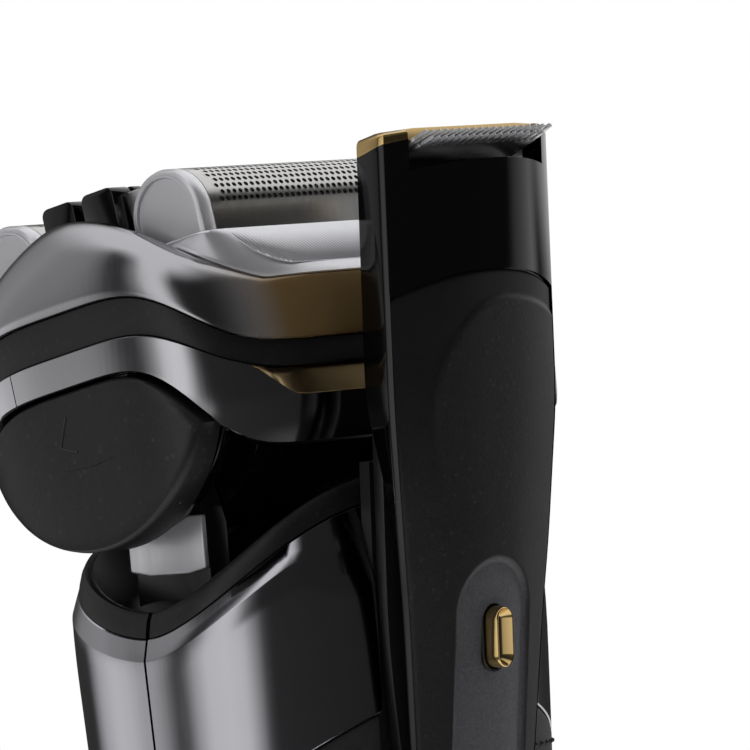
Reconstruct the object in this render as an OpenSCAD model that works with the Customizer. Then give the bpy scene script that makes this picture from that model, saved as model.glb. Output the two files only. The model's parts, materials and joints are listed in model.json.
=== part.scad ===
// Cordless foil shaver: a lofted handle, a swivelling head with a lift-off foil
// cassette, and a precision trimmer that slides up out of the back.
// The origin is the centre of the flat base. +Z runs up the handle, +Y points
// to the back (the trimmer side) and +X to the right of someone facing the front.

/* [Handle] */
// Greatest width of the handle
handle_w = 58; // [56:0.5:60]
// Greatest depth of the handle
handle_d = 43.6; // [42:0.5:45]
// Height of the bright rim at the sides
rim_side_z = 112.2; // [111:0.2:113]
// Rise of the rim from the sides to the back
rim_back_rise = 14; // [12:0.5:15]
// Rise of the rim from the sides to the front
rim_front_rise = 9; // [7:0.5:10]
// Wall of the casing shells
shell_wall = 2.2; // [1.6:0.1:2.6]
// Height of the dark collar above the rim
collar_h = 3; // [2:0.1:3.6]
// Wall of the collar
collar_wall = 1.8; // [1.4:0.1:2.2]
// Height of the glossy deck inside the collar
deck_z = 117; // [116:0.2:118]
// Thickness of the deck
deck_t = 3; // [2:0.1:4]
// Thickness of the rubber grips
grip_t = 1; // [0.6:0.1:1.4]
// Height at which the grips end beside the trimmer
grip_top_z = 103; // [99:0.5:105]
// Height of the bottom cap
cap_h = 3; // [2.4:0.1:4]

/* [Head] */
// Width of the head
head_w = 66; // [65:0.2:67]
// Depth of the head
head_d = 47.6; // [46.5:0.2:48]
// Height of the swivel axis above the base
swivel_z = 141; // [140.5:0.1:142]
// Distance of the swivel axis in front of the handle's axis
swivel_y = 4; // [3.5:0.1:4.4]
// Forward lean of the head at rest, in degrees
head_tilt = 10; // [9:0.5:11]
// Radius of the swivel pins
pin_r = 2.5; // [2:0.1:2.8]
// Radius of the barrel that holds the motor
barrel_r = 17.2; // [16.6:0.1:17.4]
// Half-length of the barrel
barrel_half = 19; // [18.6:0.1:19.2]
// Wall of the barrel
barrel_wall = 1.8; // [1.4:0.1:2.2]
// Width of each yoke cheek
cheek_w = 3.6; // [3:0.1:3.8]
// Radius of the release buttons' round edge
button_r = 18.4; // [18:0.1:18.6]
// Travel of the release buttons
button_travel = 1.5; // [1:0.1:1.6]
// Wall of the head's trim shells
trim_wall = 1.6; // [1.2:0.1:1.8]

/* [Cassette] */
// Distance of the foils' ends from the head's sides
foil_inset = 10; // [9.8:0.1:11]
// Outer radius of a foil's arch
foil_r = 5.5; // [5.2:0.1:5.6]
// Distance of each foil from the head's middle
foil_y = 13.1; // [13:0.05:13.2]
// Height of the foil tops above the swivel axis
foil_top = 22.8; // [22.4:0.1:23.2]
// Thickness of the foil sheet
foil_t = 0.3; // [0.2:0.05:0.4]
// Thickness of the foils' end caps
end_cap_t = 2.2; // [1.8:0.1:2.3]
// Height of the cassette's top edge above the swivel axis
ledge_top = 14.2; // [13.8:0.1:14.4]
// Height of the cassette's outer lower edge above the swivel axis
ledge_low = 7.8; // [7.6:0.1:8.2]
// Travel of the sprung foils
float_travel = 1.8; // [1.2:0.1:2]
// Half-stroke of the cutters
stroke = 0.8; // [0.5:0.05:0.9]

/* [Precision trimmer] */
// Lean of the trimmer's track, in degrees
track_lean = 4; // [3.8:0.05:4.2]
// How far the track's line stands out behind the handle, at the top end
track_stand = 2.6; // [2.5:0.05:3]
// Height of the top of the slider's body
slider_top_z = 165; // [164:0.2:166]
// Half-width of the slider at the top
slider_half = 14.4; // [14:0.1:14.6]
// Half-width of the carriage inside the track
carriage_half = 11.3; // [11:0.1:11.4]
// Thickness of the carriage
carriage_t = 1.5; // [1.4:0.05:1.6]
// Wall of the slider shell
slider_wall = 1.6; // [1.2:0.1:1.8]
// Thickness of the matte panel
panel_t = 0.7; // [0.5:0.05:0.9]
// Travel of the slider
slide_travel = 38; // [34:0.5:38]
// Half-width of the comb
comb_half = 11.2; // [10.6:0.1:12]
// Pitch of the teeth
tooth_pitch = 1.2; // [1:0.05:1.4]
// Length of the latch button
latch_len = 7.3; // [6:0.1:8]
// Width of the latch button
latch_w = 3.2; // [2.8:0.1:3.4]

/* [Inside] */
// Radius of the battery
battery_r = 7.1; // [6:0.1:7.4]
// Length of the battery
battery_len = 49; // [44:0.5:50]
// Width of the charging socket
inlet_w = 9; // [8:0.1:10]
// Depth of the charging socket's mouth
inlet_d = 5.4; // [5:0.1:6]
// Radius of the inlet pins
inlet_pin_r = 0.8; // [0.6:0.05:0.9]
// Clearance between bodies that move past each other
gap = 0.3; // [0.3:0.01:0.34]
// Radial clearance of the running fits
running_fit = 0.05; // [0.03:0.01:0.08]

/* [Hidden] */

$fn = 48;
eps = 0.02;

// Squareness of the handle's and the head's outlines.
handle_square = 2.8;
head_square = 4.5;
// Share of the full width and depth at heights given as a share of the rim's.
width_shape = [[0, 0.84], [0.1, 0.875], [0.36, 0.885], [0.62, 0.92], [0.85, 0.975], [1, 1], [1.15, 0.985]];
depth_shape = [[0, 0.78], [0.1, 0.82], [0.36, 0.845], [0.62, 0.905], [0.85, 0.965], [1, 1], [1.15, 0.985]];

handle_top_z = rim_side_z;
shell_base_z = cap_h + 0.2;
collar_lean = 0.9;
swivel = [0, -swivel_y, swivel_z];
foil_axis_z = foil_top - foil_r;
cheek_in = barrel_half + gap;
cheek_out = cheek_in + cheek_w;
neck_plate_t = 0.8;
end_wall_in = cheek_out + neck_plate_t + gap;
end_wall_t = 1.6;
end_wall_out = end_wall_in + end_wall_t;
button_in = end_wall_out + button_travel + gap;
head_half_w = head_w / 2;
head_half_d = head_d / 2;
foil_half = head_half_w - foil_inset;
frame_wall = 1.2;
cassette_in = foil_half + end_cap_t + gap;
cassette_out = cassette_in + frame_wall;
ledge_y = foil_y + foil_r + gap;
ledge_out = head_half_d - 0.3;
well_half_w = cassette_out + gap;
well_half_d = ledge_y + frame_wall + gap;
slider_len = 87;
slider_end = -slider_len;
panel_top = -15;
track_top = handle_top_z + rim_back_rise + collar_h + 2;
track_half = carriage_half + gap;
track_y = handle_d / 2 + track_stand;
latch_z = -55.6;

// ---------------------------------------------------------------- lofts

function power_of(v, e) = sign(v) * pow(abs(v), e);
function oval(a, b, n, t) = [a * power_of(cos(t), 2 / n), b * power_of(sin(t), 2 / n)];
function half_width(z) = handle_w / 2 * lookup(z / rim_side_z, width_shape);
function half_depth(z) = handle_d / 2 * lookup(z / rim_side_z, depth_shape);
function handle_point(t, z, inset) =
    concat(oval(half_width(z) - inset, half_depth(z) - inset, handle_square, t), [z]);

// Height of the rim, low at the sides and rising to the back and to the front.
function depth_share(t) = pow(abs(sin(t)), 2 / handle_square);
function rim_z(t) = rim_side_z
    + (sin(t) >= 0 ? rim_back_rise : rim_front_rise) * pow(depth_share(t), 1.7);
// Height of the grips' upper edge, which falls away from the trimmer to the side.
function grip_z(t) = grip_top_z - 10 * pow(abs(cos(t)), 1.6);

function strip_faces(n, rings, closed) = let (
    count = closed ? n : n - 1,
    row = 2 * n,
    top = (rings - 1) * row
) concat(
    [for (k = [0 : rings - 2], i = [0 : count - 1], h = [0, 1])
        let (j = (i + 1) % n, a = k * row + i, b = k * row + j)
            h == 0 ? [a, b + row, b] : [a, a + row, b + row]],
    [for (k = [0 : rings - 2], i = [0 : count - 1], h = [0, 1])
        let (j = (i + 1) % n, a = k * row + n + i, b = k * row + n + j)
            h == 0 ? [a, b, b + row] : [a, b + row, a + row]],
    [for (i = [0 : count - 1], h = [0, 1])
        let (j = (i + 1) % n) h == 0 ? [i, j, n + j] : [i, n + j, n + i]],
    [for (i = [0 : count - 1], h = [0, 1])
        let (j = (i + 1) % n, a = top + i, b = top + j)
            h == 0 ? [a, b + n, b] : [a, a + n, b + n]],
    closed ? [] : [for (k = [0 : rings - 2], h = [0, 1])
        let (o = k * row, m = o + n)
            h == 0 ? [m, m + row, o + row] : [m, o + row, o]],
    closed ? [] : [for (k = [0 : rings - 2], h = [0, 1])
        let (o = k * row + n - 1, m = o + n)
            h == 0 ? [m, o, o + row] : [m, o + row, m + row]]
);

// A wall between two stacks of rings, each ring a list of points: closed all
// the way round, or open as an arc with flat ends.
module wall_loft(outer, inner, closed) {
    n = len(outer[0]);
    rings = len(outer);
    points = [for (k = [0 : rings - 1]) each concat(outer[k], inner[k])];
    polyhedron(points, strip_faces(n, rings, closed), convexity = 6);
}

// A solid through a stack of closed rings.
module solid_loft(rings) {
    n = len(rings[0]);
    count = len(rings);
    function middle(r) = [for (a = [0 : 2]) [for (p = r) 1] * [for (p = r) p[a]] / len(r)];
    points = concat([for (r = rings) each r], [middle(rings[0])], [middle(rings[count - 1])]);
    low = count * n;
    faces = concat(
        [for (k = [0 : count - 2], i = [0 : n - 1], h = [0, 1])
            let (j = (i + 1) % n, a = k * n + i, b = k * n + j)
                h == 0 ? [a, b + n, b] : [a, a + n, b + n]],
        [for (i = [0 : n - 1]) [i, (i + 1) % n, low]],
        [for (i = [0 : n - 1]) [(count - 1) * n + (i + 1) % n, (count - 1) * n + i, low + 1]]
    );
    polyhedron(points, faces, convexity = 4);
}

arc_steps = 28;
function arc(from, to) = [for (i = [0 : arc_steps]) from + (to - from) * i / arc_steps];
round_steps = 56;
function around() = [for (i = [0 : round_steps - 1]) i * 360 / round_steps];

module at_head() {
    translate(swivel) rotate([head_tilt, 0, 0]) children();
}

// The slider's frame: x across, y out from the track's floor, z along the track.
module at_slider() {
    translate([0, track_y, slider_top_z]) rotate([-track_lean, 0, 0]) children();
}

// A bar along X with an outline drawn in Y and Z.
module bar(half) {
    rotate([90, 0, 90]) translate([0, 0, -half]) linear_extrude(2 * half) children();
}

// ---------------------------------------------------------------- handle

shell_levels = [0, 0.08, 0.22, 0.38, 0.56, 0.76, 1];

// Outer rings of a casing half: set in under the grips, full width above them.
function shell_outer(angles) = concat(
    [for (s = shell_levels) [for (t = angles)
        handle_point(t, shell_base_z + s * (grip_z(t) - shell_base_z), grip_t)]],
    [for (s = [0, 0.34, 0.67, 1]) [for (t = angles)
        handle_point(t, grip_z(t) + eps + s * (rim_z(t) - grip_z(t) - eps), 0)]]
);
function shell_inner(angles) = concat(
    [for (s = shell_levels) [for (t = angles)
        handle_point(t, shell_base_z + s * (grip_z(t) - shell_base_z), grip_t + shell_wall)]],
    [for (s = [0, 0.34, 0.67, 1]) [for (t = angles)
        handle_point(t, grip_z(t) + eps + s * (rim_z(t) - grip_z(t) - eps), grip_t + shell_wall)]]
);

// The space of the back track, from its floor outwards.
module track_space(half, floor_y, low) {
    at_slider() translate([-half, floor_y, low]) cube([2 * half, handle_d, -low + 30]);
}
guide_t = 1.5;
guide_floor = -gap - guide_t;
track_low = slider_end - slide_travel - 1;

module front_shell() {
    color("gainsboro") difference() {
        wall_loft(shell_outer(arc(180, 360)), shell_inner(arc(180, 360)), false);
        translate([-panel_half - 0.1, -handle_d, panel_low - 0.1])
            cube([2 * panel_half + 0.2, handle_d - window_back, panel_high - panel_low + 0.2]);
    }
}

module rear_shell() {
    color("gainsboro") difference() {
        wall_loft(shell_outer(arc(0, 180)), shell_inner(arc(0, 180)), false);
        track_space(track_half + 0.1, guide_floor - 0.1, track_low - 0.1);
    }
}

// A dark band on the rim, leaning inwards.
module collar(from, to) {
    outer = [for (s = [0, 0.5, 1]) [for (t = arc(from, to))
        let (p = handle_point(t, rim_z(t), 0.2 + collar_lean * s * s))
            [p.x, p.y, rim_z(t) + 0.1 + s * collar_h]]];
    inner = [for (s = [0, 0.5, 1]) [for (t = arc(from, to))
        let (p = handle_point(t, rim_z(t), 0.2 + collar_wall + collar_lean * s * s))
            [p.x, p.y, rim_z(t) + 0.1 + s * collar_h]]];
    wall_loft(outer, inner, false);
}
module front_collar() {
    color("#2a2a2c") collar(180, 360);
}
module rear_collar() {
    color("#2a2a2c") difference() {
        collar(0, 180);
        track_space(track_half + 0.1, guide_floor - 0.1, track_low);
    }
}

// The deck closes the handle under the head and carries the yoke.
deck_gap = 0.15;
module shoulder() {
    ring_inset = grip_t + shell_wall + deck_gap;
    rings = [for (z = [rim_side_z - 4, rim_side_z - 1]) [for (t = around()) handle_point(t, z, ring_inset)]];
    crown = [for (s = [0.5, 1]) [for (t = around())
        let (p = handle_point(t, rim_side_z - 1, ring_inset + 3 * s * s))
            [p.x, p.y, rim_side_z - 1 + s * (deck_z - rim_side_z + 1)]]];
    color("#111113") difference() {
        solid_loft(concat(rings, crown));
        translate([-handle_w / 2 + 6, -handle_d / 2 + 6, rim_side_z - 5])
            cube([handle_w - 12, handle_d - 12, deck_z - deck_t - rim_side_z + 5]);
        track_space(track_half + 0.1, guide_floor - 0.1, track_low);
        for (side = [-1, 1])
            translate([side * (cheek_in + cheek_w / 2 + neck_plate_t / 2), 0, deck_z])
                cube([cheek_w + neck_plate_t + 0.2, 12.4, 20], center = true);
    }
}

neck_half_d = 6;
eye_r = pin_r + 2.4;
yoke_base_z = deck_z - deck_t;
module neck_yoke() {
    color("#17171a") {
        difference() {
            for (side = [-1, 1])
                translate([side * (cheek_in + cheek_w / 2), 0, 0]) bar(cheek_w / 2) difference() {
                    union() {
                        translate([-swivel_y, swivel_z]) circle(eye_r);
                        polygon([[-neck_half_d, yoke_base_z - 3], [neck_half_d, yoke_base_z - 3],
                            [neck_half_d, deck_z + 8], [eye_r - swivel_y, swivel_z],
                            [-swivel_y - eye_r, swivel_z], [-neck_half_d, deck_z + 8]]);
                    }
                }
            translate([-cheek_out - 1, -swivel_y, swivel_z]) rotate([0, 90, 0])
                cylinder(r = pin_r + running_fit, h = 2 * cheek_out + 2);
        }
        translate([-cheek_in - 0.5, -neck_half_d, yoke_base_z - 3])
            cube([2 * cheek_in + 1, 2 * neck_half_d, 2.8]);
    }
}

module neck_plate(side) {
    color("silver") translate([side * (cheek_out + neck_plate_t / 2), 0, 0])
        bar(neck_plate_t / 2 - 0.02) polygon([[-neck_half_d, deck_z + 2.8], [-3, deck_z + 2.3], [3, deck_z + 2.3],
            [neck_half_d, deck_z + 2.8], [neck_half_d, deck_z + 9], [-neck_half_d, deck_z + 9]]);
}
module neck_plate_left() { neck_plate(1); }
module neck_plate_right() { neck_plate(-1); }

// A rubber skin on the casing's inset band, over a run of its angles.
module grip_skin(angles, first, last) {
    levels = [for (s = shell_levels) s == 1 ? 0.998 : s];
    function ring(s, inset) = [for (i = [first : last])
        handle_point(angles[i], shell_base_z + s * (grip_z(angles[i]) - shell_base_z), inset)];
    wall_loft([for (s = levels) ring(s, 0)], [for (s = levels) ring(s, grip_t - eps)], false);
}
module grip_rear(side) {
    color("#303133") difference() {
        grip_skin(arc(0, 180), side > 0 ? 1 : arc_steps / 2 + 1, side > 0 ? arc_steps / 2 - 1 : arc_steps - 1);
        track_space(track_half + 0.6, guide_floor - 1, track_low - 1);
    }
}
module grip_rear_left() { grip_rear(1); }
module grip_rear_right() { grip_rear(-1); }

window_back = 12;
panel_half = 11;
panel_low = 24;
panel_high = 104;
panel_recess = 0.4;
module grip_front() {
    color("#303133") difference() {
        grip_skin(arc(180, 360), 1, arc_steps - 1);
        translate([-panel_half - 0.3, -handle_d, panel_low - 0.3])
            cube([2 * panel_half + 0.6, handle_d - window_back, panel_high]);
    }
}

// The front panel is a bowed plate in the front shell's window.
power_z = 84;
power_r = 7;
power_lip = 1.2;
module front_window(inset, thick, margin, low, high) {
    n = 14;
    angles = [for (i = [0 : n]) 222 + 96 * i / n];
    levels = [low, (low + high) * 0.35, (low + high) * 0.62, high];
    intersection() {
        wall_loft([for (z = levels) [for (t = angles) handle_point(t, z, inset)]],
            [for (z = levels) [for (t = angles) handle_point(t, z, inset + thick)]], false);
        translate([-panel_half + margin, -handle_d, low])
            cube([2 * (panel_half - margin), handle_d, high - low]);
    }
}
module along_front(z) {
    translate([0, -half_depth(z), z]) rotate([-90, 0, 0]) children();
}
module front_panel() {
    color("#0d0d0f") difference() {
        front_window(panel_recess, 2.2, 0.1, panel_low, panel_high);
        along_front(power_z) translate([0, 0, -1]) cylinder(r = power_r + 0.1, h = 8);
        along_front(lock_z) translate([-lock_w / 2 - gap, -lock_len / 2 - gap - lock_travel, -1])
            cube([lock_w + 2 * gap, lock_len + 2 * gap + lock_travel, 6]);
    }
}
module power_ring() {
    color("#c9a45c") along_front(power_z) translate([0, 0, -0.3]) difference() {
        cylinder(r = power_r, h = 2.4);
        translate([0, 0, -1]) cylinder(r = power_r - power_lip, h = 5);
    }
}
power_travel = 0.8;
module power_button() {
    color("#1b1b1d") along_front(power_z) translate([0, 0, -0.1]) {
        cylinder(r = power_r - power_lip - gap, h = 2.2);
        translate([0, 0, 2.1]) cylinder(r = 2, h = 1.4);
    }
}
lock_z = 96;
lock_w = 6;
lock_len = 3.6;
lock_travel = 3;
// The switch slides up and down in its slot and holds the head's angle.
module lock_switch() {
    color("#3a3b3e") along_front(lock_z)
        translate([-lock_w / 2, -lock_len / 2, -0.6]) cube([lock_w, lock_len, 2.6]);
}

// ---------------------------------------------------------------- inside the handle

battery_y = -1.5;
battery_z = 26;
chassis_half = 15;
chassis_low = 18;
chassis_high = 96;
module chassis() {
    color("#4c4d50") difference() {
        union() {
            translate([-chassis_half, battery_y - 1, chassis_low]) cube([2 * chassis_half, 2, chassis_high - chassis_low + 2]);
            for (z = [chassis_low, chassis_high])
                translate([-chassis_half, battery_y - 8.5, z]) cube([2 * chassis_half, 17, 2]);
            translate([-chassis_half, battery_y - 9.5, chassis_low - 2])
                cube([2 * chassis_half, 2, chassis_high - chassis_low + 6]);
            for (side = [-1, 1])
                translate([side * (chassis_half - 1) - 1, battery_y - 2, chassis_high])
                    cube([2, 4, yoke_base_z - chassis_high - 3]);
        }
        translate([0, battery_y, battery_z - 0.1]) cylinder(r = battery_r + 0.1, h = battery_len + 1.1);
        translate([0, battery_y, battery_z + battery_len + 2.4]) {
            cylinder(r = motor_r + 0.1, h = motor_len + 0.2);
            cylinder(r = 1.3, h = motor_len + 8);
        }
    }
}
module battery() {
    color("#3f6f4a") translate([0, battery_y, battery_z]) {
        cylinder(r = battery_r, h = battery_len);
        translate([0, 0, battery_len - eps]) cylinder(r = 2.4, h = 0.9);
    }
}
module circuit_board() {
    color("#1f5a3c") {
        translate([-10, battery_y - 11.2, 22]) cube([20, 1.6, 76]);
        translate([-6, battery_y - 12.6, 30]) cube([12, 1.42, 12]);
    }
}
motor_r = 5;
motor_len = 18;
// A small motor with its shaft.
module trimmer_motor() {
    color("#8a8c90") translate([0, battery_y, battery_z + battery_len + 2.5]) {
        cylinder(r = motor_r, h = motor_len);
        translate([0, 0, motor_len - eps]) cylinder(r = 1, h = 2.2);
    }
}
inlet_len = 12;
module charging_inlet() {
    color("#141416") difference() {
        translate([-inlet_w / 2 - 1.4, -inlet_d / 2 - 1.4, 0.3])
            cube([inlet_w + 2.8, inlet_d + 2.8, inlet_len]);
        translate([-inlet_w / 2, -inlet_d / 2, -1]) cube([inlet_w, inlet_d, inlet_len - 0.7]);
        for (side = [-1, 1])
            translate([side * 2.4, 0, 1]) cylinder(r = inlet_pin_r, h = 20);
    }
}
module inlet_pins() {
    color("#cfc7a5") for (side = [-1, 1])
        translate([side * 2.4, 0, 4.8]) cylinder(r = inlet_pin_r, h = 9.5);
}
module bottom_cap() {
    function base_ring(z, inset) = [for (t = around()) let (p = handle_point(t, shell_base_z, inset)) [p.x, p.y, z]];
    color("#232426") difference() {
        union() {
            solid_loft([base_ring(0, grip_t + 1.6), base_ring(0.5, grip_t + 0.7),
                base_ring(1.4, grip_t + 0.2), base_ring(cap_h, grip_t)]);
            solid_loft([base_ring(cap_h - eps, grip_t + shell_wall + 1.2), base_ring(cap_h + 3, grip_t + shell_wall + 1.2)]);
        }
        translate([-inlet_w / 2 - 1.5, -inlet_d / 2 - 1.5, -1]) cube([inlet_w + 3, inlet_d + 3, 12]);
        for (side = [-1, 1])
            translate([side * screw_x, 0, -1]) cylinder(r = screw_head_r + 0.1, h = 3.2);
    }
}
screw_x = 14;
screw_head_r = 1.9;
module bottom_seal() {
    function seal_ring(z, inset) = [for (t = around()) let (p = handle_point(t, shell_base_z, inset)) [p.x, p.y, z]];
    color("#1a1a1a") wall_loft(
        [for (z = [cap_h + 1, cap_h + 2.4]) seal_ring(z, grip_t + shell_wall + 0.1)],
        [for (z = [cap_h + 1, cap_h + 2.4]) seal_ring(z, grip_t + shell_wall + 1.15)], true);
}
module case_screws() {
    color("#9a9ca0") for (side = [-1, 1])
        translate([side * screw_x, 0, 1]) difference() {
            cylinder(r = screw_head_r, h = 1.2);
            translate([0, 0, -0.1]) cylinder(r = 0.8, h = 0.8, $fn = 6);
        }
}
module trimmer_guide() {
    rail_h = 1.1;
    color("#1c1c1f") at_slider() difference() {
        translate([-track_half, guide_floor, track_low]) cube([2 * track_half, guide_t, guide_len]);
        for (z = [-100 : 20 : -60])
            translate([0, guide_floor + guide_t - 0.4, z]) cube([6, 1, 2], center = true);
    }
}
guide_len = slide_travel + slider_len - (slider_top_z - track_top);

// ---------------------------------------------------------------- head

// Heights of the head's parting lines, by angle: high at the sides and low at
// the front and back. Each is measured from the swivel axis.
function side_share(t) = pow(abs(cos(t)), 2 / head_square);
function blend(t, long_face, side, sharp) = long_face + (side - long_face) * pow(side_share(t), sharp);
function dome_low(t) = blend(t, 0.1, 9.3, 9);
dome_peak = 20;
function dome_top(t) = ledge_low - gap
    + (dome_peak - ledge_low + gap) * (1 - pow(min(1, 1.06 * pow(abs(sin(t)), 2 / head_square)), 1.7));
function bezel_top(t) = blend(t, -2.9, 4.7, 9);
function bezel_low(t) = sin(t) > 0 ? blend(t, -11.6, 0.8, 7) : blend(t, -5.6, 0.8, 7);
function head_point(t, z, inset_x, inset_y) =
    concat(oval(head_half_w - inset_x, head_half_d - inset_y, head_square, t), [z]);

trim_angles = [for (i = [0 : 71]) i * 5];
module head_dome() {
    levels = [0, 0.35, 0.6, 0.8, 0.93, 1];
    function reach(s) = 1 - sqrt(max(0, 1 - s * s));
    outer = [for (s = levels) [for (t = trim_angles)
        let (z = dome_low(t) + 0.1 + s * (dome_top(t) - dome_low(t) - 0.1))
            head_point(t, z, 4.6 * reach(s), 0.3 * reach(s))]];
    inner = [for (s = levels) [for (t = trim_angles)
        let (z = dome_low(t) + 0.1 + s * (dome_top(t) - dome_low(t) - 0.1))
            head_point(t, z, head_half_w - well_half_w + 3, head_half_d - well_half_d + 2)]];
    color("silver") at_head() difference() {
        wall_loft(outer, inner, true);
        translate([-well_half_w, -well_half_d, -10]) cube([2 * well_half_w, 2 * well_half_d, 60]);
    }
}

module head_band() {
    levels = [0, 1];
    function ring(s, ix, iy) = [for (t = trim_angles)
        head_point(t, bezel_top(t) + 0.1 + s * (dome_low(t) - bezel_top(t) - 0.1), ix, iy)];
    color("#1d1d1f") at_head() wall_loft([for (s = levels) ring(s, 0.5, 0.5)],
        [for (s = levels) ring(s, trim_wall + 0.6, trim_wall)], true);
}

bezel_split = 186.5;
// A bright lower trim that hugs the head and curves in towards its lower edge.
module bezel(from, to) {
    angles = arc(from, to);
    levels = [0, 0.3, 0.65, 1];
    function tuck(s, t) = 2.3 * (1 - s) * (1 - s) * (1 - pow(side_share(t), 6));
    function z_at(s, t) = bezel_low(t) + s * (bezel_top(t) - bezel_low(t));
    color("silver") at_head() wall_loft(
        [for (s = levels) [for (t = angles) head_point(t, z_at(s, t), 0, tuck(s, t))]],
        [for (s = levels) [for (t = angles) head_point(t, z_at(s, t), trim_wall, trim_wall + tuck(s, t))]], false);
}
module rear_bezel() { bezel(180 - bezel_split, bezel_split); }
module front_bezel() { bezel(bezel_split + 0.1, 540 - bezel_split - 0.1); }

// The bezel's lower edge at a distance y from the middle, on its inside.
function bezel_edge(y) = let (
    across = min(1, abs(y) / (head_half_d - trim_wall)),
    along = pow(1 - pow(across, head_square), 1 / head_square),
    low = y > 0 ? -11.6 : -5.6
) low + (0.8 - low) * pow(along, 7);

module head_outline(low, high, inset) {
    translate([0, 0, low]) linear_extrude(high - low)
        polygon([for (t = trim_angles) oval(head_half_w - inset, head_half_d - inset, head_square, t)]);
}

module release_button(side) {
    reach = button_r + 1;
    edge = [for (i = [0 : 24]) let (y = -reach + 2 * reach * i / 24) [y, bezel_edge(1.04 * y) - gap]];
    color("#222224") at_head() intersection() {
        head_outline(-button_r - 1, 2, 0);
        translate([side * (button_in + head_half_w) / 2, 0, 0]) bar((head_half_w - button_in) / 2)
            intersection() {
                circle(button_r);
                polygon(concat([[-reach, -reach], [reach, -reach]], [for (i = [24 : -1 : 0]) edge[i]]));
            }
    }
}
module release_button_left() { release_button(1); }
module release_button_right() { release_button(-1); }

base_low = 1.2;
base_high = 3.4;
motor_half = 14.6;
motor_half_d = 11;
// The barrel with its end walls, and the plate that carries the trims and the cassette.
module head_base() {
    slot_half = 8.8;
    color("#101012") at_head() difference() {
        union() {
            translate([0, 0, base_low]) linear_extrude(base_high - base_low)
                polygon([for (t = trim_angles)
                    oval(head_half_w - trim_wall - 0.8, well_half_d - gap, head_square, t)]);
            rotate([0, 90, 0]) translate([0, 0, -barrel_half]) cylinder(r = barrel_r, h = 2 * barrel_half);
            for (side = [-1, 1])
                translate([side * (end_wall_in + end_wall_t / 2), 0, 0]) rotate([0, 90, 0])
                    cylinder(r = barrel_r, h = end_wall_t, center = true);
        }
        translate([-40, -40, base_high]) cube([80, 80, 40]);
        rotate([0, 90, 0]) translate([0, 0, -barrel_half + barrel_wall])
            cylinder(r = barrel_r - barrel_wall, h = 2 * (barrel_half - barrel_wall));
        rotate([0, 90, 0]) translate([0, 0, -40]) cylinder(r = pin_r, h = 80);
        for (side = [-1, 1])
            translate([side * (barrel_half + end_wall_in) / 2, 0, 0])
                cube([end_wall_in - barrel_half, 2 * slot_half, 8], center = true);
    }
}

module swivel_pins() {
    color("#b9bbbf") at_head() for (side = [-1, 1])
        translate([side * (barrel_half - barrel_wall), 0, 0]) rotate([0, side * 90, 0])
            cylinder(r = pin_r, h = end_wall_out - barrel_half + barrel_wall);
}

module linear_motor() {
    color("#77797d") at_head() intersection() {
        rotate([0, 90, 0]) translate([0, 0, -motor_half])
            cylinder(r = barrel_r - barrel_wall - 0.2, h = 2 * motor_half);
        translate([-motor_half, -motor_half_d, -20]) cube([2 * motor_half, 2 * motor_half_d, 22.2]);
    }
}

// The bridge that the motor shakes from side to side, with a post for each cutter.
trimmer_y = -4.6;
comb_y = 2;
cutter_rows = [foil_y, -foil_y, trimmer_y, comb_y];
bridge_z = 3.7;
bridge_t = 1.2;
post_r = 0.8;
post_x = 8;
post_top = 12.8;
module drive_bridge() {
    color("#5b5d61") at_head() {
        translate([-12, -foil_y - 2, bridge_z]) cube([24, 2 * foil_y + 4, bridge_t]);
        translate([0, 0, 2.5]) cylinder(r = 3, h = bridge_z - 2.5 + eps);
        for (y = cutter_rows, side = [-1, 1])
            translate([side * post_x, y, bridge_z + bridge_t - eps])
                cylinder(r = post_r, h = post_top - bridge_z - bridge_t + eps);
    }
}

// ---------------------------------------------------------------- cassette

floor_low = 5.6;
floor_t = 1;
ledge_half = 19.5;
module cassette_frame() {
    slot_half_d = post_r + 0.6;
    color("silver") at_head() difference() {
        union() {
            translate([-cassette_out, -ledge_y - frame_wall, floor_low])
                cube([2 * cassette_out, 2 * (ledge_y + frame_wall), ledge_top - floor_low]);
            for (side = [-1, 1])
                bar(ledge_half) polygon([[side * ledge_y, ledge_low], [side * ledge_out, ledge_low],
                    [side * ledge_out, ledge_low + 0.6], [side * (ledge_y + 0.6), ledge_top],
                    [side * ledge_y, ledge_top]]);
        }
        translate([-cassette_in, -ledge_y, floor_low + floor_t])
            cube([2 * cassette_in, 2 * ledge_y, 20]);
        for (y = cutter_rows)
            translate([-post_x - 3, y - slot_half_d, floor_low - 1])
                cube([2 * post_x + 6, 2 * slot_half_d, 4]);
        for (side = [-1, 1])
            ledge_inset(side, 0);
    }
}

// The shallow field on the ledge that takes the knurled trim.
trim_half = 18.5;
trim_t = 0.5;
ledge_angle = atan2(ledge_top - ledge_low - 0.6, ledge_out - ledge_y - 0.6);
module ledge_inset(side, margin) {
    rotate([0, 0, side > 0 ? 0 : 180]) translate([0, ledge_y + 0.6, ledge_top]) rotate([-ledge_angle, 0, 0])
        translate([-trim_half + margin, 0.8 + margin, -trim_t])
            cube([2 * (trim_half - margin), 4.6 - 2 * margin, trim_t + (margin > 0 ? 0 : 1)]);
}
module rear_trim() {
    color("#8c8f94") at_head() ledge_inset(1, 0.05);
}
module front_trim() {
    color("#8c8f94") at_head() ledge_inset(-1, 0.05);
}

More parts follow.
